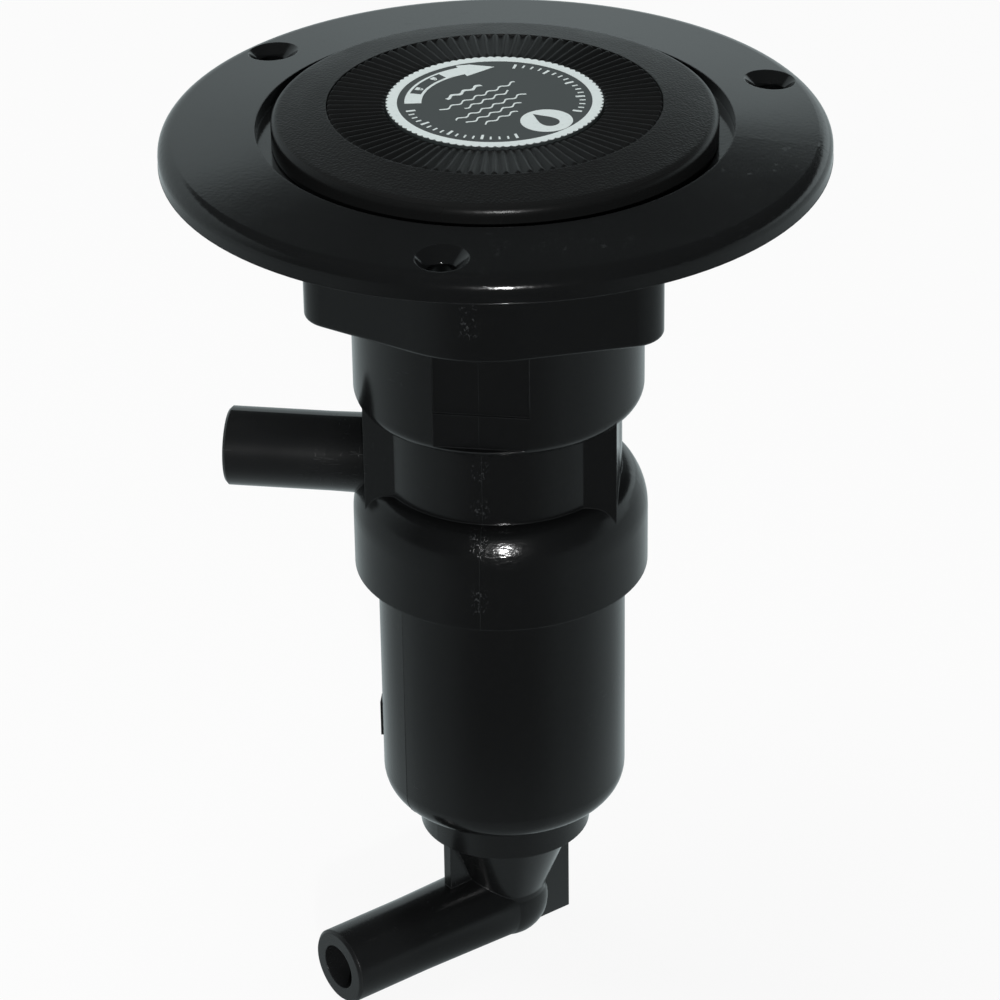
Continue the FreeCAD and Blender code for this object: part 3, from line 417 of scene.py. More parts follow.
@dataclass(frozen=True)
class PebbledPlastic:
    """Matte plastic with a fine leathery grain on the button's top, and smooth sides.

    Args:
        name: Name of the material.
        colour: Colour of the clean plastic.
        worn: Colour where shoes have rubbed it.
        roughness: Roughness of the grained top.
        shine: Level of its clear reflection.
        grain: Pebbles per millimetre.
        depth: Depth of the grain in metres.
        edge: Rounding of its edges in metres.
        top: Heights in millimetres between which the grain sets in.
        label_rim: Radii in millimetres between which it sets in around the label.
        trodden: Radii in millimetres between which treading has polished it.
    """

    name: str
    colour: Spot = (0.0088, 0.0092, 0.0092)
    worn: Spot = (0.022, 0.023, 0.023)
    roughness: float = 0.42
    shine: float = 0.19
    grain: float = 2.2
    depth: float = 0.07 * MM
    edge: float = 0.30 * MM
    top: Flat = (7.2, 8.0)
    label_rim: Flat = (18.5, 19.0)
    trodden: Flat = (30.0, 36.0)

    def material(self) -> bpy.types.Material:
        """Builds the finish.

        Returns:
            The finished material.
        """
        graph = Graph.paint(self.name)
        spot = graph.place()
        cells = graph.node("ShaderNodeTexVoronoi", {"feature": "SMOOTH_F1"}, Vector=spot,
                           Scale=self.grain, Smoothness=0.6, Randomness=1.0, output="Distance")
        crumbs = graph.noise(spot, scale=self.grain * 1.7, detail=3.0)
        across, ahead, up = graph.parts(spot)
        reach = (across * across + ahead * ahead).maths("SQRT")
        top = up.ramp(*self.top) * reach.ramp(*self.label_rim)
        clouds = graph.noise(spot, scale=0.09, detail=3.0)
        soft = graph.soft_edges(self.edge)
        edges = graph.worn_edges(soft)
        height = (1 - cells.ramp(0.0, 0.9)) * 0.6 * top + crumbs * 0.4 * top + crumbs * 0.08
        trodden = reach.ramp(*self.trodden) * top * clouds.ramp(0.4, 0.65)
        rough = self.roughness + (clouds - 0.5) * 0.12 - trodden * 0.08 - edges * 0.16 - (1 - top) * 0.16
        colour = graph.blend(edges * 0.4 + crumbs.ramp(0.55, 0.8) * 0.25, self.colour, self.worn)
        return graph.finish(Base_Color=colour, Roughness=rough, Specular_IOR_Level=self.shine,
                            Normal=graph.bumps(height, self.depth, soft))


@dataclass(frozen=True)
class Rubber:
    """Matte moulded rubber with a faint bloom.

    Args:
        name: Name of the material.
        colour: Colour of the clean rubber.
        bloomed: Colour of its bloom.
        relief: Depth of its grain in metres.
    """

    name: str
    colour: Spot = (0.018, 0.018, 0.018)
    bloomed: Spot = (0.06, 0.06, 0.058)
    relief: float = 0.01 * MM

    def material(self) -> bpy.types.Material:
        """Builds the finish.

        Returns:
            The finished material.
        """
        graph = Graph.paint(self.name)
        spot = graph.place()
        bloom = graph.noise(spot, scale=0.4, detail=4.0).ramp(0.45, 0.8)
        fine = graph.noise(spot, scale=4.0)
        return graph.finish(Base_Color=graph.blend(bloom * 0.5, self.colour, self.bloomed),
                            Roughness=0.7 + (bloom - 0.5) * 0.15, Normal=graph.bumps(fine, self.relief))


@dataclass(frozen=True)
class Steel:
    """Turned or drawn stainless steel with fine tool lines around its axis.

    Args:
        name: Name of the material.
        colour: Colour of the bright steel.
        roughness: Its roughness.
        stained: Colour where water has stained it.
        relief: Depth of its tool lines in metres.
    """

    name: str
    colour: Spot = (0.58, 0.58, 0.57)
    roughness: float = 0.28
    stained: Spot = (0.40, 0.38, 0.35)
    relief: float = 0.006 * MM

    def material(self) -> bpy.types.Material:
        """Builds the finish.

        Returns:
            The finished material.
        """
        graph = Graph.paint(self.name)
        spot = graph.place()
        lines = graph.noise(spot.stretched((0.15, 0.15, 9.0)), scale=1.4, detail=3.0)
        stains = graph.noise(spot, scale=0.25, detail=4.0).ramp(0.5, 0.8)
        return graph.finish(Base_Color=graph.blend(stains * 0.5, self.colour, self.stained), Metallic=1.0,
                            Roughness=self.roughness + (lines - 0.5) * 0.2 + stains * 0.12,
                            Normal=graph.bumps(lines, self.relief))


@dataclass(frozen=True)
class Acetal:
    """Off-white machined plastic of the inner pieces.

    Args:
        name: Name of the material.
        colour: Colour of the clean plastic.
        stained: Colour where water has stained it.
        relief: Depth of its tool lines in metres.
    """

    name: str
    colour: Spot = (0.72, 0.72, 0.68)
    stained: Spot = (0.52, 0.50, 0.42)
    relief: float = 0.01 * MM

    def material(self) -> bpy.types.Material:
        """Builds the finish.

        Returns:
            The finished material.
        """
        graph = Graph.paint(self.name)
        spot = graph.place()
        lines = graph.noise(spot.stretched((0.3, 0.3, 6.0)), scale=1.2)
        stain = graph.noise(spot, scale=0.2, detail=4.0).ramp(0.5, 0.85)
        return graph.finish(Base_Color=graph.blend(stain * 0.5, self.colour, self.stained),
                            Roughness=0.42 + (lines - 0.5) * 0.15, Normal=graph.bumps(lines, self.relief))


@dataclass(frozen=True)
class Print:
    """Printed foil of the label, with specks where the ink is thin.

    Args:
        name: Name of the material.
        colour: Colour of the full ink.
        faded: Colour where the ink is thin.
        roughness: Its roughness.
        shine: Level of its clear reflection.
        relief: Depth of its grain in metres.
    """

    name: str
    colour: Spot
    faded: Spot
    roughness: float = 0.38
    shine: float = 0.28
    relief: float = 0.004 * MM

    def material(self) -> bpy.types.Material:
        """Builds the finish.

        Returns:
            The finished material.
        """
        graph = Graph.paint(self.name)
        spot = graph.place()
        thin = graph.noise(spot, scale=1.4, detail=5.0, rough=0.7).ramp(0.52, 0.78)
        grain = graph.noise(spot, scale=5.0)
        return graph.finish(Base_Color=graph.blend(thin * 0.7, self.colour, self.faded),
                            Roughness=self.roughness + (thin - 0.5) * 0.15,
                            Specular_IOR_Level=self.shine, Normal=graph.bumps(grain, self.relief))


@dataclass
class Finishes:
    """Every finish of the pump, made once."""

    plate: bpy.types.Material = field(default_factory=MouldedPlastic(
        "plate_plastic", roughness=0.13, scuffs=((-19.5, -13.0),)).material)
    body: bpy.types.Material = field(default_factory=MouldedPlastic(
        "body_plastic", scuffs=((-52.0, -48.5), (-59.0, -56.0), (-65.0, -60.8), (-76.0, -70.0)),
        filed=(-72.0, -62.5), tail=(-1.0, 0.0, 0.0)).material)
    cylinder: bpy.types.Material = field(default_factory=MouldedPlastic(
        "cylinder_plastic", roughness=0.19, tail=(-0.70711, -0.70711, 0.0)).material)
    button: bpy.types.Material = field(default_factory=PebbledPlastic("button_plastic").material)
    ribs: bpy.types.Material = field(default_factory=MouldedPlastic(
        "rib_plastic", colour=(0.0066, 0.0070, 0.0070), worn=(0.024, 0.026, 0.026),
        roughness=0.42, shine=0.21).material)
    rubber: bpy.types.Material = field(default_factory=Rubber("seal_rubber").material)
    steel: bpy.types.Material = field(default_factory=Steel("turned_steel").material)
    wire: bpy.types.Material = field(default_factory=Steel(
        "spring_wire", colour=(0.45, 0.45, 0.45), roughness=0.34).material)
    acetal: bpy.types.Material = field(default_factory=Acetal("inner_plastic").material)
    ink_white: bpy.types.Material = field(default_factory=Print(
        "ink_white", colour=(0.72, 0.80, 0.79), faded=(0.53, 0.61, 0.60)).material)
    ink_dark: bpy.types.Material = field(default_factory=Print(
        "ink_dark", colour=(0.036, 0.043, 0.043), faded=(0.06, 0.07, 0.07)).material)

    def dress_nodes(self, nodes: dict[str, bpy.types.Object]) -> None:
        """Gives each CAD node its finish.

        Args:
            nodes: The CAD nodes by name.
        """
        dressed = (
            (self.plate, ("deck_plate",)),
            (self.body, ("pump_body",)),
            (self.cylinder, ("lower_cylinder",)),
            (self.button, ("foot_button",)),
            (self.ink_dark, ("label_disc",)),
            (self.wire, ("return_spring",)),
            (self.steel, ("plunger_rod", "button_screw", "button_washer", "spring_clip", "flap_stop",
                          "piston_nut", "body_screw_1", "body_screw_2", "body_screw_3", "body_screw_4")),
            (self.acetal, ("spring_washer", "spring_seat", "rod_bush", "seal_plate", "piston",
                           "inlet_valve_seat", "inlet_valve_stem")),
            (self.rubber, ("rod_seal", "neck_ring", "cup_ring", "piston_seal", "transfer_flap",
                           "inlet_flap")))
        for material, names in dressed:
            for name in names:
                mesh = nodes[name].data
                mesh.materials.clear()
                mesh.materials.append(material)


def add_piece(name: str, mesh: bpy.types.Mesh, body: Body, material: bpy.types.Material) -> None:
    """Puts a finished mesh on a body.

    Args:
        name: Name of the piece.
        mesh: Its mesh, in the pump's frame.
        body: Body that carries it.
        material: Its finish.
    """
    piece = bpy.data.objects.new(name, mesh)
    mesh.materials.append(material)
    bpy.context.scene.collection.objects.link(piece)
    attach(piece, body.value)
    LOG.info("piece %s: %d faces on %s", name, len(mesh.polygons), body.value)


def closed_mesh(name: str, spots: Sequence[Spot], faces: Sequence[Sequence[int]],
                smooth: bool = False) -> bpy.types.Mesh:
    """Makes a mesh from points and faces, with its faces turned outwards.

    Args:
        name: Name of the mesh.
        spots: Points in metres.
        faces: Point numbers of each face.
        smooth: Whether faces shade smoothly.

    Returns:
        The mesh.
    """
    mesh = bpy.data.meshes.new(name)
    mesh.from_pydata([Vector(spot) for spot in spots], [], faces)
    work = bmesh.new()
    work.from_mesh(mesh)
    bmesh.ops.recalc_face_normals(work, faces=work.faces)
    for face in work.faces:
        face.smooth = smooth
    work.to_mesh(mesh)
    work.free()
    return mesh


def plate(name: str, outline: Sequence[Flat], low: float, high: float) -> bpy.types.Mesh:
    """Flat plate from a plan outline.

    Args:
        name: Name of the mesh.
        outline: Plan points in metres.
        low: Height of the underside.
        high: Height of the top.

    Returns:
        A closed mesh.
    """
    count = len(outline)
    spots = [(x, y, z) for z in (low, high) for x, y in outline]
    faces: list[Sequence[int]] = [list(reversed(range(count))), list(range(count, 2 * count))]
    faces += [(i, (i + 1) % count, count + (i + 1) % count, count + i) for i in range(count)]
    return closed_mesh(name, spots, faces)


def ring_plate(name: str, outer: Sequence[Flat], inner: Sequence[Flat], low: float,
               high: float) -> bpy.types.Mesh:
    """Flat ring between two outlines with equally many points.

    Args:
        name: Name of the mesh.
        outer: Outer outline in metres.
        inner: Inner outline in metres.
        low: Height of the underside.
        high: Height of the top.

    Returns:
        A closed mesh.
    """
    count = len(outer)
    spots = [(x, y, z) for z in (low, high) for ring in (outer, inner) for x, y in ring]
    faces = []
    for i in range(count):
        j = (i + 1) % count
        faces += [(i, j, count + j, count + i), (2 * count + i, 2 * count + j, 3 * count + j, 3 * count + i),
                  (i, j, 2 * count + j, 2 * count + i), (count + i, count + j, 3 * count + j, 3 * count + i)]
    return closed_mesh(name, spots, faces)


def on_circle(radius: float, angle: float) -> Flat:
    """Plan point at a radius and an angle in degrees from the front towards +X."""
    turn = math.radians(angle)
    return radius * math.sin(turn), -radius * math.cos(turn)


def arc(radius: float, start: float, end: float, steps: int) -> list[Flat]:
    """Plan points along an arc."""
    return [on_circle(radius, start + (end - start) * i / steps) for i in range(steps + 1)]


def oval(across: float, up: float, turn: float, steps: int) -> list[Flat]:
    """Points of an oval with these half widths, from the right through this many degrees of turn."""
    angles = [math.radians(turn) * i / steps for i in range(steps + 1)]
    return [(across * math.cos(angle), up * math.sin(angle)) for angle in angles]


@dataclass
class ButtonRibs:
    """Ring of fine radial ribs in the button's top, each rounded down at its outer end.

    Radii and heights are in metres.

    Args:
        count: Number of ribs.
        inner: Radius of their inner ends.
        outer: Radius of their outer ends.
        floor: Height of the ring's underside.
        valley: Height of the grooves.
        inner_crest: Height of a rib at its inner end.
        outer_crest: Height of a rib at its outer end.
        steps: Steps across one rib and its groove.
        crease: Angle in degrees from which an edge stays sharp.
        rings: Share of the way out, and share of the ribs' full height there.
    """

    count: int = 90
    inner: float = 18.62 * MM
    outer: float = 28.3 * MM
    floor: float = 8.69 * MM
    valley: float = 8.80 * MM
    inner_crest: float = 9.12 * MM
    outer_crest: float = 9.42 * MM
    steps: int = 10
    crease: float = 50.0
    rings: tuple[Flat, ...] = (
        (0.0, 0.0), (0.06, 1.0), (0.2, 1.0), (0.4, 1.0), (0.6, 1.0), (0.8, 1.0), (0.93, 1.0),
        (0.955, 0.97), (0.975, 0.85), (0.985, 0.5), (1.0, 0.1))

    def build(self, finishes: Finishes) -> None:
        """Makes the ribs as one closed ring.

        Args:
            finishes: The pump's finishes.
        """
        spots: list[Spot] = []
        around = self.count * self.steps
        for share, full in self.rings:
            radius = self.inner + (self.outer - self.inner) * share
            for step in range(around):
                x, y = on_circle(radius, 360.0 * step / around)
                spots.append((x, y, self._height(share, full, step)))
        for radius in (self.inner, self.outer):
            spots += [(*on_circle(radius, 360.0 * step / around), self.floor) for step in range(around)]
        faces: list[Sequence[int]] = []
        last = (len(self.rings) - 1) * around
        base = last + around
        for step in range(around):
            after = (step + 1) % around
            for near in range(0, last, around):
                far = near + around
                faces.append((near + step, near + after, far + after, far + step))
            faces.append((step, after, base + after, base + step))
            faces.append((last + step, last + after, base + around + after, base + around + step))
            faces.append((base + step, base + after, base + around + after, base + around + step))
        mesh = closed_mesh("button_ribs", spots, faces, smooth=True)
        mesh.set_sharp_from_angle(angle=math.radians(self.crease))
        add_piece("button_ribs", mesh, Body.BUTTON, finishes.ribs)

    def _height(self, share: float, full: float, step: int) -> float:
        """Height of the corrugated top.

        Args:
            share: Share of the way from the inner to the outer end.
            full: Share of the ribs' full height that stands there.
            step: Step around.

        Returns:
            The height in metres.
        """
        rise = 0.5 + 0.5 * math.cos(math.tau * step / self.steps)
        crest = self.inner_crest + (self.outer_crest - self.inner_crest) * share
        return self.valley + (crest - self.valley) * rise * full


@dataclass
class LabelArt:
    """Generic printed label: toothed white border, locking arrow, padlocks, waves and a drop roundel.

    Lengths are in metres and angles in degrees, except where the list says otherwise.

    Args:
        top: Height of the label disc's face.
        film: Thickness of one print.
        turn: Degrees that the whole print is turned on the button.
        tilt: Degrees that the waves and the drop lean on the print.
        border_outer: Radius of the border's teeth.
        border_inner: Radius of its inner edge.
        border_tooth: Depth of its teeth.
        teeth: Number of teeth.
        tooth_steps: Steps along one tooth.
        arrow_radii: Inner and outer radius of the arrow.
        arrow_angles: Angles of its end, of its neck and of its tip.
        arrow_barb: How far its barbs stand out.
        arrow_bulge: Share of the way from neck to tip, and how far the outer edge stands out there.
        arrow_lift: How far its tip lies outside the middle of its width.
        arrow_steps: Steps along each side of it.
        patch_span: Degrees from the arrow's end to both ends of the dark patch in it.
        patch_half: Half the patch's width.
        patch_steps: Steps along each side of the patch.
        padlocks: Name of each padlock, degrees from the arrow's end, and whether it is open.
        padlock_size: Size that the padlocks are drawn at.
        waves: Height, left end, right end and thickness of each wave, in millimetres.
        wave_swell: Height of a wave's swell in millimetres.
        wave_pace: Radians of swell per millimetre.
        wave_steps: Steps per millimetre.
        wave_centre: Middle of the waves on the label.
        roundel_radius: Radius of the roundel.
        roundel_centre: Middle of the roundel.
        roundel_steps: Steps around it.
        drop_half: Half the drop's width before its top narrows.
        drop_middle: Height of its middle above the roundel's.
        drop_rise: Half its height.
        drop_taper: How sharply its top narrows.
        drop_steps: Steps around the drop.
        tick_spans: Start and end angle of each scale.
        tick_gaps: Number of gaps between a scale's ticks.
        tick_outer: Radius of the ticks' outer ends.
        long_tick: Inner radius of a long tick, and half its width in degrees.
        short_tick: The same for a short tick.
        long_every: Gaps from one long tick to the next.
    """

    top: float = 9.3 * MM
    film: float = 0.06 * MM
    turn: float = 8.5
    tilt: float = 42.0
    border_outer: float = 18.35 * MM
    border_inner: float = 16.45 * MM
    border_tooth: float = 0.42 * MM
    teeth: int = 86
    tooth_steps: int = 8
    arrow_radii: Flat = (12.3 * MM, 15.2 * MM)
    arrow_angles: Spot = (-88.0, -156.0, -180.0)
    arrow_barb: float = 0.9 * MM
    arrow_bulge: Flat = (0.35, 0.5 * MM)
    arrow_lift: float = 0.3 * MM
    arrow_steps: int = 24
    patch_span: Flat = (16.0, 52.0)
    patch_half: float = 0.95 * MM
    patch_steps: int = 14
    padlocks: tuple[tuple[str, float, bool], ...] = (
        ("open_padlock", 24.0, True), ("shut_padlock", 44.0, False))
    padlock_size: float = 0.55 * MM
    waves: tuple[tuple[float, float, float, float], ...] = (
        (6.6, -6.5, 1.5, 0.62), (3.6, -10.2, 6.6, 0.34), (1.5, -6.8, 3.4, 0.34),
        (-1.0, -11.0, 4.6, 0.34), (-3.2, -10.4, 1.6, 0.34), (-5.4, -8.6, -1.2, 0.34))
    wave_swell: float = 0.34
    wave_pace: float = 2.3
    wave_steps: float = 6.0
    wave_centre: Flat = (1.0 * MM, 0.6 * MM)
    roundel_radius: float = 4.4 * MM
    roundel_centre: Flat = (8.6 * MM, -8.2 * MM)
    roundel_steps: int = 48
    drop_half: float = 2.3 * MM
    drop_middle: float = 0.5 * MM
    drop_rise: float = 2.9 * MM
    drop_taper: float = 1.6
    drop_steps: int = 40
    tick_spans: tuple[Flat, ...] = ((-76.0, 14.0), (72.0, 166.0))
    tick_gaps: int = 16
    tick_outer: float = 15.3 * MM
    long_tick: Flat = (13.7 * MM, 0.9)
    short_tick: Flat = (14.3 * MM, 0.6)
    long_every: int = 4

    def build(self, finishes: Finishes) -> None:
        """Makes every printed patch.

        Args:
            finishes: The pump's finishes.
        """
        self._border(finishes)
        self._arrow(finishes)
        self._waves(finishes)
        self._roundel(finishes)
        self._ticks(finishes)

    def _add(self, name: str, mesh: bpy.types.Mesh, material: bpy.types.Material) -> None:
        """Puts a printed patch on the button."""
        add_piece(name, mesh, Body.BUTTON, material)

    def _print(self, name: str, outline: Sequence[Flat], material: bpy.types.Material,
               under: float = 0.0, thick: float = 1.0) -> None:
        """Prints a patch.

        Args:
            name: Name of the patch.
            outline: Plan points in metres.
            material: Its ink.
            under: Thickness of the prints below it, in films.
            thick: Its own thickness in films.
        """
        low = self.top + self.film * under
        self._add(name, plate(name, outline, low, low + self.film * thick), material)

    def _spin(self, outline: Sequence[Flat], angle: float, move: Flat) -> list[Flat]:
        """Turns an outline on the label and moves it, in the label's own viewing direction.

        Args:
            outline: Plan points in metres.
            angle: Degrees to turn it by.
            move: Where its origin goes on the label.

        Returns:
            Plan points on the button.
        """
        lean, look = math.radians(angle), math.radians(self.turn)
        out = []
        for x, y in outline:
            u = x * math.cos(lean) - y * math.sin(lean) + move[0]
            v = x * math.sin(lean) + y * math.cos(lean) + move[1]
            out.append((u * math.cos(look) - v * math.sin(look), u * math.sin(look) + v * math.cos(look)))
        return out

    def _border(self, finishes: Finishes) -> None:
        """Prints the white ring with its scalloped outer edge.

        Args:
            finishes: The pump's finishes.
        """
        steps = self.teeth * self.tooth_steps
        outer = []
        for i in range(steps):
            wave = abs(math.sin(math.pi * i / self.tooth_steps))
            outer.append(on_circle(self.border_outer - self.border_tooth * (1 - wave), 360.0 * i / steps))
        inner = [on_circle(self.border_inner, 360.0 * i / steps) for i in range(steps)]
        mesh = ring_plate("label_border", outer, inner, self.top, self.top + self.film)
        self._add("label_border", mesh, finishes.ink_white)

    def _arrow(self, finishes: Finishes) -> None:
        """Prints the curved arrow that shows which way the button locks, with padlocks in a dark patch.

        Args:
            finishes: The pump's finishes.
        """
        inner, outer = self.arrow_radii
        middle = (outer + inner) / 2
        start, neck, tip = (angle + self.turn for angle in self.arrow_angles)
        share, bulge = self.arrow_bulge
        outline = arc(outer, start, neck, self.arrow_steps)
        outline += [on_circle(outer + self.arrow_barb, neck),
                    on_circle(outer + bulge, neck + (tip - neck) * share),
                    on_circle(middle + self.arrow_lift, tip),
                    on_circle(inner - self.arrow_barb, neck)]
        outline += arc(inner, neck, start, self.arrow_steps)
        self._print("lock_arrow", outline, finishes.ink_white)
        first, last = (start - angle for angle in self.patch_span)
        patch = arc(middle + self.patch_half, first, last, self.patch_steps)
        patch += arc(middle - self.patch_half, last, first, self.patch_steps)
        self._print("arrow_patch", patch, finishes.ink_dark, under=1.0, thick=0.5)
        for name, angle, lifted in self.padlocks:
            self._padlock(name, start - angle, middle, lifted, finishes)

    def _padlock(self, name: str, angle: float, radius: float, lifted: bool, finishes: Finishes) -> None:
        """Prints a small padlock sign, which stands along the radius.

        Args:
            name: Name of the sign.
            angle: Angle on the label.
            radius: Radius on the label.
            lifted: Whether the shackle is open.
            finishes: The pump's finishes.
        """
        x, y = on_circle(radius, angle)
        across = Vector(on_circle(self.padlock_size, angle + 90.0))
        up = Vector(on_circle(-self.padlock_size, angle))
        spring, foot = (0.65, 0.45) if lifted else (0.30, 0.05)
        case = [(-0.9, -1.1), (0.9, -1.1), (0.9, 0.15), (-0.9, 0.15)]
        bend = [(u, spring + v) for u, v in oval(0.62, 0.72, 180.0, 10)]
        hollow = [(u, spring + v) for u, v in oval(0.30, 0.38, 180.0, 10)]
        bow = [(0.62, 0.05), *bend, (-0.62, foot), (-0.30, foot), *reversed(hollow), (0.30, 0.05)]
        for piece, points in ((name, case), (name + "_bow", bow)):
            placed = [(x + across.x * u + up.x * v, y + across.y * u + up.y * v) for u, v in points]
            self._print(piece, placed, finishes.ink_white, under=1.5)

    def _waves(self, finishes: Finishes) -> None:
        """Prints rows of plain wavy water lines across the middle.

        Args:
            finishes: The pump's finishes.
        """
        for number, (height, left, right, thick) in enumerate(self.waves, start=1):
            count = int((right - left) * self.wave_steps)
            upper, lower = [], []
            for i in range(count + 1):
                x = left + (right - left) * i / count
                swell = self.wave_swell * math.sin(x * self.wave_pace)
                upper.append((x * MM, (height + swell + thick / 2) * MM))
                lower.append((x * MM, (height + swell - thick / 2) * MM))
            outline = self._spin(upper + lower[::-1], self.tilt, self.wave_centre)
            self._print("water_line_%d" % number, outline, finishes.ink_white)

    def _roundel(self, finishes: Finishes) -> None:
        """Prints the white roundel with a dark drop in it, at the lower right of the label.

        Args:
            finishes: The pump's finishes.
        """
        disc = oval(self.roundel_radius, self.roundel_radius, 360.0, self.roundel_steps)[:-1]
        self._print("drop_roundel", self._spin(disc, 0.0, self.roundel_centre), finishes.ink_white)
        drop = []
        for i in range(self.drop_steps):
            turn = math.tau * i / self.drop_steps
            half = self.drop_half * math.sin(turn / 2) ** self.drop_taper
            drop.append((half * math.sin(turn), self.drop_middle + self.drop_rise * math.cos(turn)))
        drop = self._spin(drop, self.tilt, self.roundel_centre)
        self._print("drop_sign", drop, finishes.ink_dark, under=1.0)

    def _ticks(self, finishes: Finishes) -> None:
        """Prints scales of short ticks along the rest of the border.

        Args:
            finishes: The pump's finishes.
        """
        for side, (start, end) in enumerate(self.tick_spans, start=1):
            for i in range(self.tick_gaps + 1):
                angle = start + (end - start) * i / self.tick_gaps + self.turn
                inner, half = self.short_tick if i % self.long_every else self.long_tick
                outline = arc(self.tick_outer, angle - half, angle + half, 2)
                outline += arc(inner, angle + half, angle - half, 2)
                self._print("tick_%d_%02d" % (side, i + 1), outline, finishes.ink_white)


@dataclass
class MouldSeams:
    """Fine parting ridges where the mould halves met, and a bead round the flange's lower edge.

    Radii and heights of the mouldings are in millimetres. A rounding is given by the radius and the
    height of its centre, and its own radius.

    Args:
        width: Width of a ridge in metres.
        proud: How far it stands out in metres.
        sunk: How far its edges lie under the surface in metres.
        end_share: Share of its height that is left at its ends.
        rim_radius: Radius in metres at which the bead runs.
        rim_height: Height in metres at which it runs.
        rim_bead: The bead's own radius in metres.
        barrel: Radius of the barrel.
        barrel_top: Height at which the ridges start below the neck.
        barrel_foot: Rounding at the barrel's foot.
        panel: Distance of the barrel's sunk front panel from the axis.
        panel_foot: Height of the panel's lower end.
        panel_step: Distance of the step below the panel from the axis.
        panel_step_span: Heights of the step's ends.
        middle: Radius of the narrower middle.
        middle_span: Heights of the middle's ends.
        shoulder_head: Rounding at the shoulder's top.
        shoulder_foot: Rounding at the shoulder's foot.
        shoulder_slope: Angle in degrees at which the two meet.
        collar: Radius of the collar.
        collar_foot: Height of its lower edge.
        cup: Radius of the cup.
        cup_top: Height at which the cup leaves the collar.
        cup_foot: Rounding at the cup's foot.
        end_angle: Degrees from level at which a ridge's line leaves a rounding that turns under.
        cup_end_angle: The same at the cup's foot.
    """

    width: float = 0.30 * MM
    proud: float = 0.07 * MM
    sunk: float = 0.06 * MM
    end_share: float = 0.35
    rim_radius: float = 56.90 * MM
    rim_height: float = 0.15 * MM
    rim_bead: float = 0.14 * MM
    barrel: float = 25.4
    barrel_top: float = -24.5
    barrel_foot: Spot = (22.5, -43.3, 2.9)
    panel: float = 23.4
    panel_foot: float = -38.0
    panel_step: float = 23.9
    panel_step_span: Flat = (-38.2, -44.3)
    middle: float = 21.5
    middle_span: Flat = (-46.3, -60.5)
    shoulder_head: Spot = (21.61, -63.60, 3.0)
    shoulder_foot: Spot = (14.05, -68.50, 12.0)
    shoulder_slope: float = 29.9
    collar: float = 26.05
    collar_foot: float = -79.0
    cup: float = 22.0
    cup_top: float = -79.3
    cup_foot: Spot = (16.5, -121.7, 5.5)
    end_angle: float = 88.0
    cup_end_angle: float = 80.0

    def build(self, finishes: Finishes) -> None:
        """Runs the ridges down the housing and the bead round the flange.

        Args:
            finishes: The pump's finishes.
        """
        barrel = [(self.barrel, self.barrel_top), *self._bend(self.barrel_foot, 0.0, -self.end_angle)]
        panel = [(self.panel, self.barrel_top), (self.panel, self.panel_foot)]
        step = [(self.panel_step, height) for height in self.panel_step_span]
        middle = [(self.middle, height) for height in self.middle_span]
        collar = [*self._bend(self.shoulder_head, self.end_angle, self.shoulder_slope),
                  *self._bend(self.shoulder_foot, self.shoulder_slope, 0.0), (self.collar, self.collar_foot)]
        cup = [(self.cup, self.cup_top), *self._bend(self.cup_foot, 0.0, -self.cup_end_angle)]
        runs = (
            ("front_barrel_seam", Facing.BODY_FRONT, panel, finishes.body),
            ("front_panel_seam", Facing.BODY_FRONT, step, finishes.body),
            ("front_middle_seam", Facing.BODY_FRONT, middle, finishes.body),
            ("front_collar_seam", Facing.BODY_FRONT, collar, finishes.body),
            ("back_barrel_seam", Facing.BODY_BACK, barrel, finishes.body),
            ("back_middle_seam", Facing.BODY_BACK, middle, finishes.body),
            ("back_collar_seam", Facing.BODY_BACK, collar, finishes.body),
            ("front_cup_seam", Facing.CUP_FRONT, cup, finishes.cylinder),
            ("back_cup_seam", Facing.CUP_BACK, cup, finishes.cylinder))
        for name, facing, line, material in runs:
            self._ridge(name, facing.value, line, material)
        self._rim(finishes)

    def _bend(self, rounding: Spot, start: float, end: float, steps: int = 7) -> list[Flat]:
        """Profile points along a rounding.

        Args:
            rounding: Radius and height of its centre, and its own radius.
            start: First angle in degrees, up from level.
            end: Last angle.
            steps: Number of steps.

        Returns:
            (radius, height) points in millimetres.
        """
        radius, height, own = rounding
        angles = [math.radians(start + (end - start) * i / steps) for i in range(steps + 1)]
        return [(radius + own * math.cos(angle), height + own * math.sin(angle)) for angle in angles]

    def _rim(self, finishes: Finishes, around: int = 720, sides: int = 8) -> None:
        """Runs a fine bead round the flange's lower edge.

        Args:
            finishes: The pump's finishes.
            around: Steps around the flange.
            sides: Sides of the bead's section.
        """
        spots: list[Spot] = []
        faces: list[Sequence[int]] = []
        for step in range(around):
            here, there = step * sides, (step + 1) % around * sides
            for side in range(sides):
                turn = math.tau * side / sides
                x, y = on_circle(self.rim_radius + self.rim_bead * math.cos(turn), 360.0 * step / around)
                spots.append((x, y, self.rim_height + self.rim_bead * math.sin(turn)))
                beside = (side + 1) % sides
                faces.append((here + side, here + beside, there + beside, there + side))
        mesh = closed_mesh("flange_seam", spots, faces, smooth=True)
        add_piece("flange_seam", mesh, Body.HOUSING, finishes.plate)

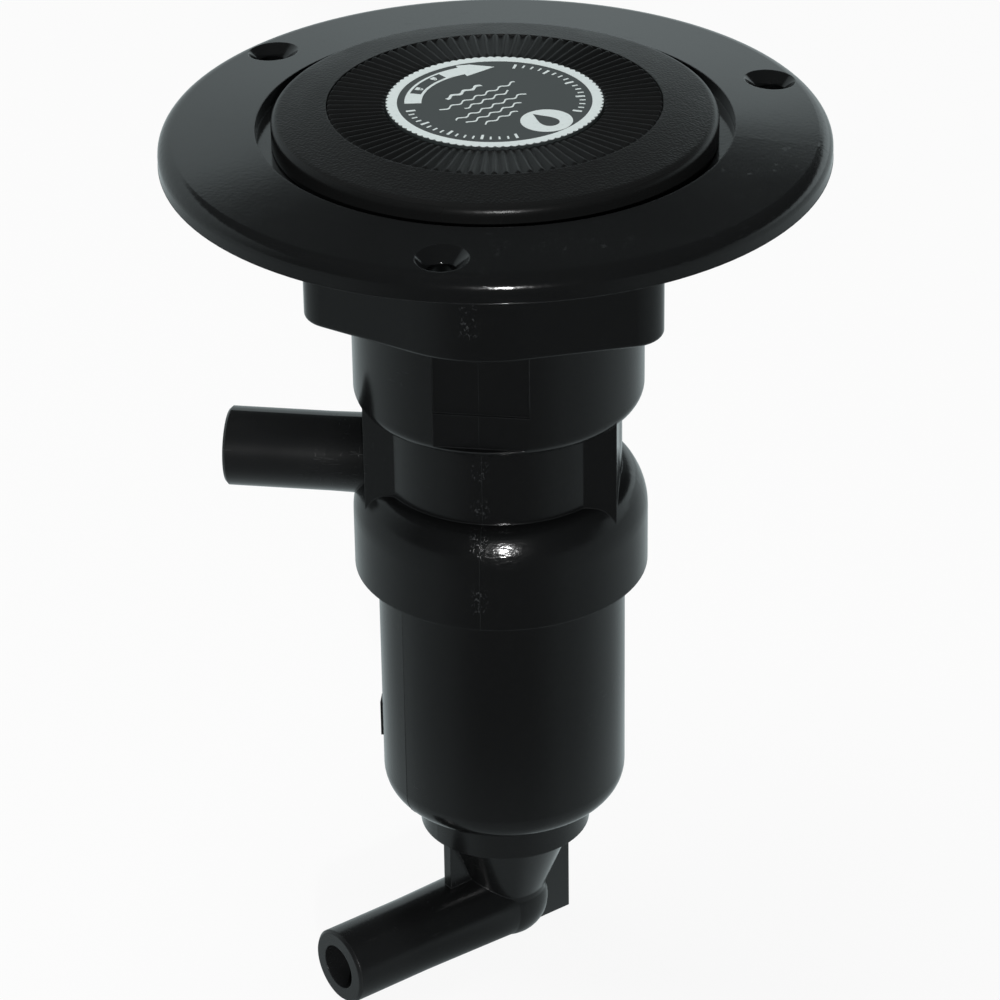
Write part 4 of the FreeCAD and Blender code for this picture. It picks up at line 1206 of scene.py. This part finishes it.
    def _ridge(self, name: str, angle: float, line: Sequence[Flat], material: bpy.types.Material) -> None:
        """Makes one ridge of three-sided section.

        Args:
            name: Name of the ridge.
            angle: Angle around the pump in degrees.
            line: (radius, height) points in millimetres.
            material: Finish of the moulding that it belongs to.
        """
        outward = Vector((*on_circle(1.0, angle), 0.0))
        upward = Vector((0.0, 0.0, 1.0))
        half = upward.cross(outward) * self.width / 2
        last = len(line) - 1
        spots: list[Spot] = []
        faces: list[Sequence[int]] = [(0, 1, 2), (3 * last + 2, 3 * last + 1, 3 * last)]
        for i, (radius, height) in enumerate(line):
            before, after = line[max(0, i - 1)], line[min(last, i + 1)]
            run = Vector((after[0] - before[0], after[1] - before[1])).normalized()
            lift = upward * run.x - outward * run.y
            spot = outward * radius * MM + upward * height * MM
            share = self.end_share if i in (0, last) else 1.0
            for corner in (spot - half - lift * self.sunk, spot + lift * self.proud * share,
                           spot + half - lift * self.sunk):
                spots.append(tuple(corner))
        for i in range(last):
            for k in range(3):
                faces.append((3 * i + k, 3 * i + (k + 1) % 3, 3 * i + 3 + (k + 1) % 3, 3 * i + 3 + k))
        mesh = closed_mesh(name, spots, faces)
        add_piece(name, mesh, Body.HOUSING, material)


@dataclass(frozen=True)
class Lamp:
    """Square lamp: where it hangs, what it faces, its side in metres and its power in watts."""

    name: str
    place: Spot
    target: Spot
    size: float
    power: float
    mirrored: bool = True

    def hang(self) -> None:
        """Puts the lamp in the studio; one that isn't mirrored lights without showing in gloss."""
        light = bpy.data.lights.new(self.name, "AREA")
        light.size = self.size
        light.energy = self.power
        lamp = bpy.data.objects.new(self.name, light)
        lamp.location = Vector(self.place)
        towards = Vector(self.target) - Vector(self.place)
        lamp.rotation_euler = towards.to_track_quat("-Z", "Y").to_euler()
        lamp.visible_camera = False
        lamp.visible_glossy = self.mirrored
        bpy.context.scene.collection.objects.link(lamp)


@dataclass
class Studio:
    """White studio that is dark on the camera's side: floor with a painted reflection that only gloss sees,
    backdrop, lamps and camera.

    Args:
        reach: Half the floor's side in metres.
        paint: Colour of the floor.
        floor_white: Share of pure white in the floor as the camera sees it; the rest keeps the shadow.
        painted_reflection_dark: Glow of the darkest part of the floor's painted reflection, which only gloss
            sees.
        painted_reflection_bright: Glow of the brightest part of the floor's painted reflection, which only
            gloss sees.
        painted_under_share: Share of the painted reflection's glow added close around the pump's axis.
        ceiling: Glow of the room in gloss and as light.
        wall_top: Sine of the height angle of the backdrop's upper edge.
        wall_lean: How far that edge drops towards the right.
        wall_blur: How soft that edge is.
        wall_left: Glow of the backdrop's left end.
        wall_right: Glow of its right end.
        tint: Colour of what gloss reflects.
        distance: Level distance from the pump's axis to the camera in metres.
        height: Height of the camera above the deck in metres.
        azimuth: Degrees from the front to the camera, towards +X.
        pitch: Degrees that the camera looks down.
        roll: Degrees that it leans.
        yaw: Degrees that it looks past the pump's axis.
        lens: Focal length in millimetres.
        sensor: Width of the camera's sensor in millimetres.
        clip: Nearest and furthest distance that it sees in metres.
        lamps: The lamps.
    """

    reach: float = 4.0
    paint: Spot = (0.80, 0.80, 0.80)
    floor_white: float = 0.92
    painted_reflection_dark: float = 0.03
    painted_reflection_bright: float = 0.78
    painted_under_share: float = 0.22
    ceiling: float = 0.038
    wall_top: float = 0.415
    wall_lean: float = 0.24
    wall_blur: float = 0.022
    wall_left: float = 0.56
    wall_right: float = 0.94
    tint: Spot = (0.86, 0.98, 1.0)
    distance: float = 662.352 * MM
    height: float = 308.933 * MM
    azimuth: float = 8.5
    pitch: float = 29.6328
    roll: float = -0.8628
    yaw: float = -0.0097
    lens: float = 155.0591
    sensor: float = 36.0
    clip: Flat = (0.05, 20.0)
    lamps: tuple[Lamp, ...] = (
        Lamp("flash", (0.467, -2.357, 0.689), (0.0, 0.0, -0.06), 0.08, 36.0),
        Lamp("top_softbox", (-0.30, 0.10, 1.20), (0.0, 0.0, 0.0), 0.9, 11.5, mirrored=False))

    def build(self, floor: float) -> None:
        """Sets the stage.

        Args:
            floor: Height of the floor in metres.
        """
        self._floor(floor)
        self._surroundings()
        for lamp in self.lamps:
            lamp.hang()
        self._camera()
        bpy.context.scene.view_settings.view_transform = "Standard"

    def _behind(self) -> Spot:
        """Level direction from the camera's side to behind the pump."""
        turn = math.radians(self.azimuth)
        return -math.sin(turn), math.cos(turn), 0.0

    def _floor(self, level: float) -> None:
        """Lays a white floor that keeps the pump's shadow, with a painted reflection in it that only gloss
        sees, bright behind the pump.

        Args:
            level: Height of the floor in metres.
        """
        graph = Graph.paint("floor_with_painted_reflection")
        seen, glossy = graph.rays()
        spot = graph.node("ShaderNodeNewGeometry", output="Position")
        ahead = graph.facing(spot, self._behind())
        apart = graph.node("ShaderNodeVectorMath", {"operation": "LENGTH"}, spot.level(), output="Value")
        # Painted reflection: in gloss the floor glows by where it lies, faint on the camera's side and bright
        # behind the pump; no lamp makes this glow.
        painted_reflection_share = ahead.ramp(-1.0, -0.6) * 0.17 + ahead.ramp(-0.8, 0.4) * 0.30 + ahead.ramp(0.3, 1.1) * 0.35
        # Painted reflection: gloss sees the floor close around the pump's axis glowing brighter, which
        # brightens the reflections in the pump's undersides.
        painted_reflection_share = painted_reflection_share + apart.ramp(0.12, 0.05) * self.painted_under_share
        paint = graph.node("ShaderNodeBsdfPrincipled", None, output="BSDF", Base_Color=self.paint,
                           Roughness=0.9, Specular_IOR_Level=0.0)
        dark = graph.node("ShaderNodeEmission", None, Color=self.tint, Strength=self.painted_reflection_dark)
        glow = graph.node("ShaderNodeEmission", None, Color=self.tint, Strength=self.painted_reflection_bright)
        mirrored = graph.node("ShaderNodeMixShader", None, painted_reflection_share, dark, glow)
        white = graph.node("ShaderNodeEmission", None, Color=(1.0, 1.0, 1.0), Strength=1.0)
        floor = graph.node("ShaderNodeMixShader", None, seen * self.floor_white, paint, white)
        # Gloss sees the painted reflection in place of the floor's real shading.
        graph.close(graph.node("ShaderNodeMixShader", None, glossy, floor, mirrored))
        mesh = bpy.data.meshes.new("floor")
        corners = [(x * self.reach, y * self.reach, level) for x, y in ((-1, -1), (1, -1), (1, 1), (-1, 1))]
        mesh.from_pydata(corners, [], [(0, 1, 2, 3)])
        mesh.materials.append(graph.owner)
        sheet = bpy.data.objects.new("floor", mesh)
        bpy.context.scene.collection.objects.link(sheet)
        sheet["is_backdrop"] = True

    def _surroundings(self) -> None:
        """Surrounds the pump with a low white backdrop under a dim room."""
        world = bpy.data.worlds.new("surroundings")
        bpy.context.scene.world = world
        graph = Graph(world)
        seen, glossy = graph.rays()
        way = graph.node("ShaderNodeTexCoord", output="Generated")
        across, _, up = graph.parts(way)
        rise = up + across * self.wall_lean
        wall = rise.ramp(self.wall_top + self.wall_blur, self.wall_top - self.wall_blur)
        wall = wall * graph.facing(way, self._behind()).ramp(-0.6, 0.8)
        wall = wall * (self.wall_left + across.ramp(-0.5, 0.3) * (self.wall_right - self.wall_left))
        level = wall.maths("MAXIMUM", self.ceiling).maths("MAXIMUM", seen)
        colour = graph.blend(glossy, (1.0, 1.0, 1.0), self.tint)
        graph.close(graph.node("ShaderNodeBackground", None, Color=colour, Strength=level,
                               output="Background"), "ShaderNodeOutputWorld")

    def _camera(self) -> None:
        """Puts the camera where the photograph was taken."""
        around = math.radians(self.azimuth)
        aim = math.radians(self.yaw) - around
        pitch, roll = math.radians(self.pitch), math.radians(self.roll)
        forward = Vector((math.sin(aim) * math.cos(pitch), math.cos(aim) * math.cos(pitch), -math.sin(pitch)))
        level = Vector((math.cos(aim), -math.sin(aim), 0.0))
        upright = level.cross(forward)
        right = level * math.cos(roll) + upright * math.sin(roll)
        up = upright * math.cos(roll) - level * math.sin(roll)
        eye = Vector((math.sin(around) * self.distance, -math.cos(around) * self.distance, self.height))
        view = bpy.data.cameras.new("camera")
        view.lens = self.lens
        view.sensor_width = self.sensor
        view.clip_start, view.clip_end = self.clip
        camera = bpy.data.objects.new("camera", view)
        camera.matrix_world = Matrix((
            (right.x, up.x, -forward.x, eye.x), (right.y, up.y, -forward.y, eye.y),
            (right.z, up.z, -forward.z, eye.z), (0.0, 0.0, 0.0, 1.0)))
        bpy.context.scene.collection.objects.link(camera)
        bpy.context.scene.camera = camera


def main() -> None:
    """Builds the pump's looks and lays the floor just under its lowest point."""
    logging.basicConfig(level=logging.INFO, format="%(message)s")
    solid_low, solid_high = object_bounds()
    finishes = Finishes()
    finishes.dress_nodes(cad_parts)
    ButtonRibs().build(finishes)
    LabelArt().build(finishes)
    MouldSeams().build(finishes)
    Studio().build(solid_low.z - FLOOR_GAP)


if __name__ == "__main__":
    main()
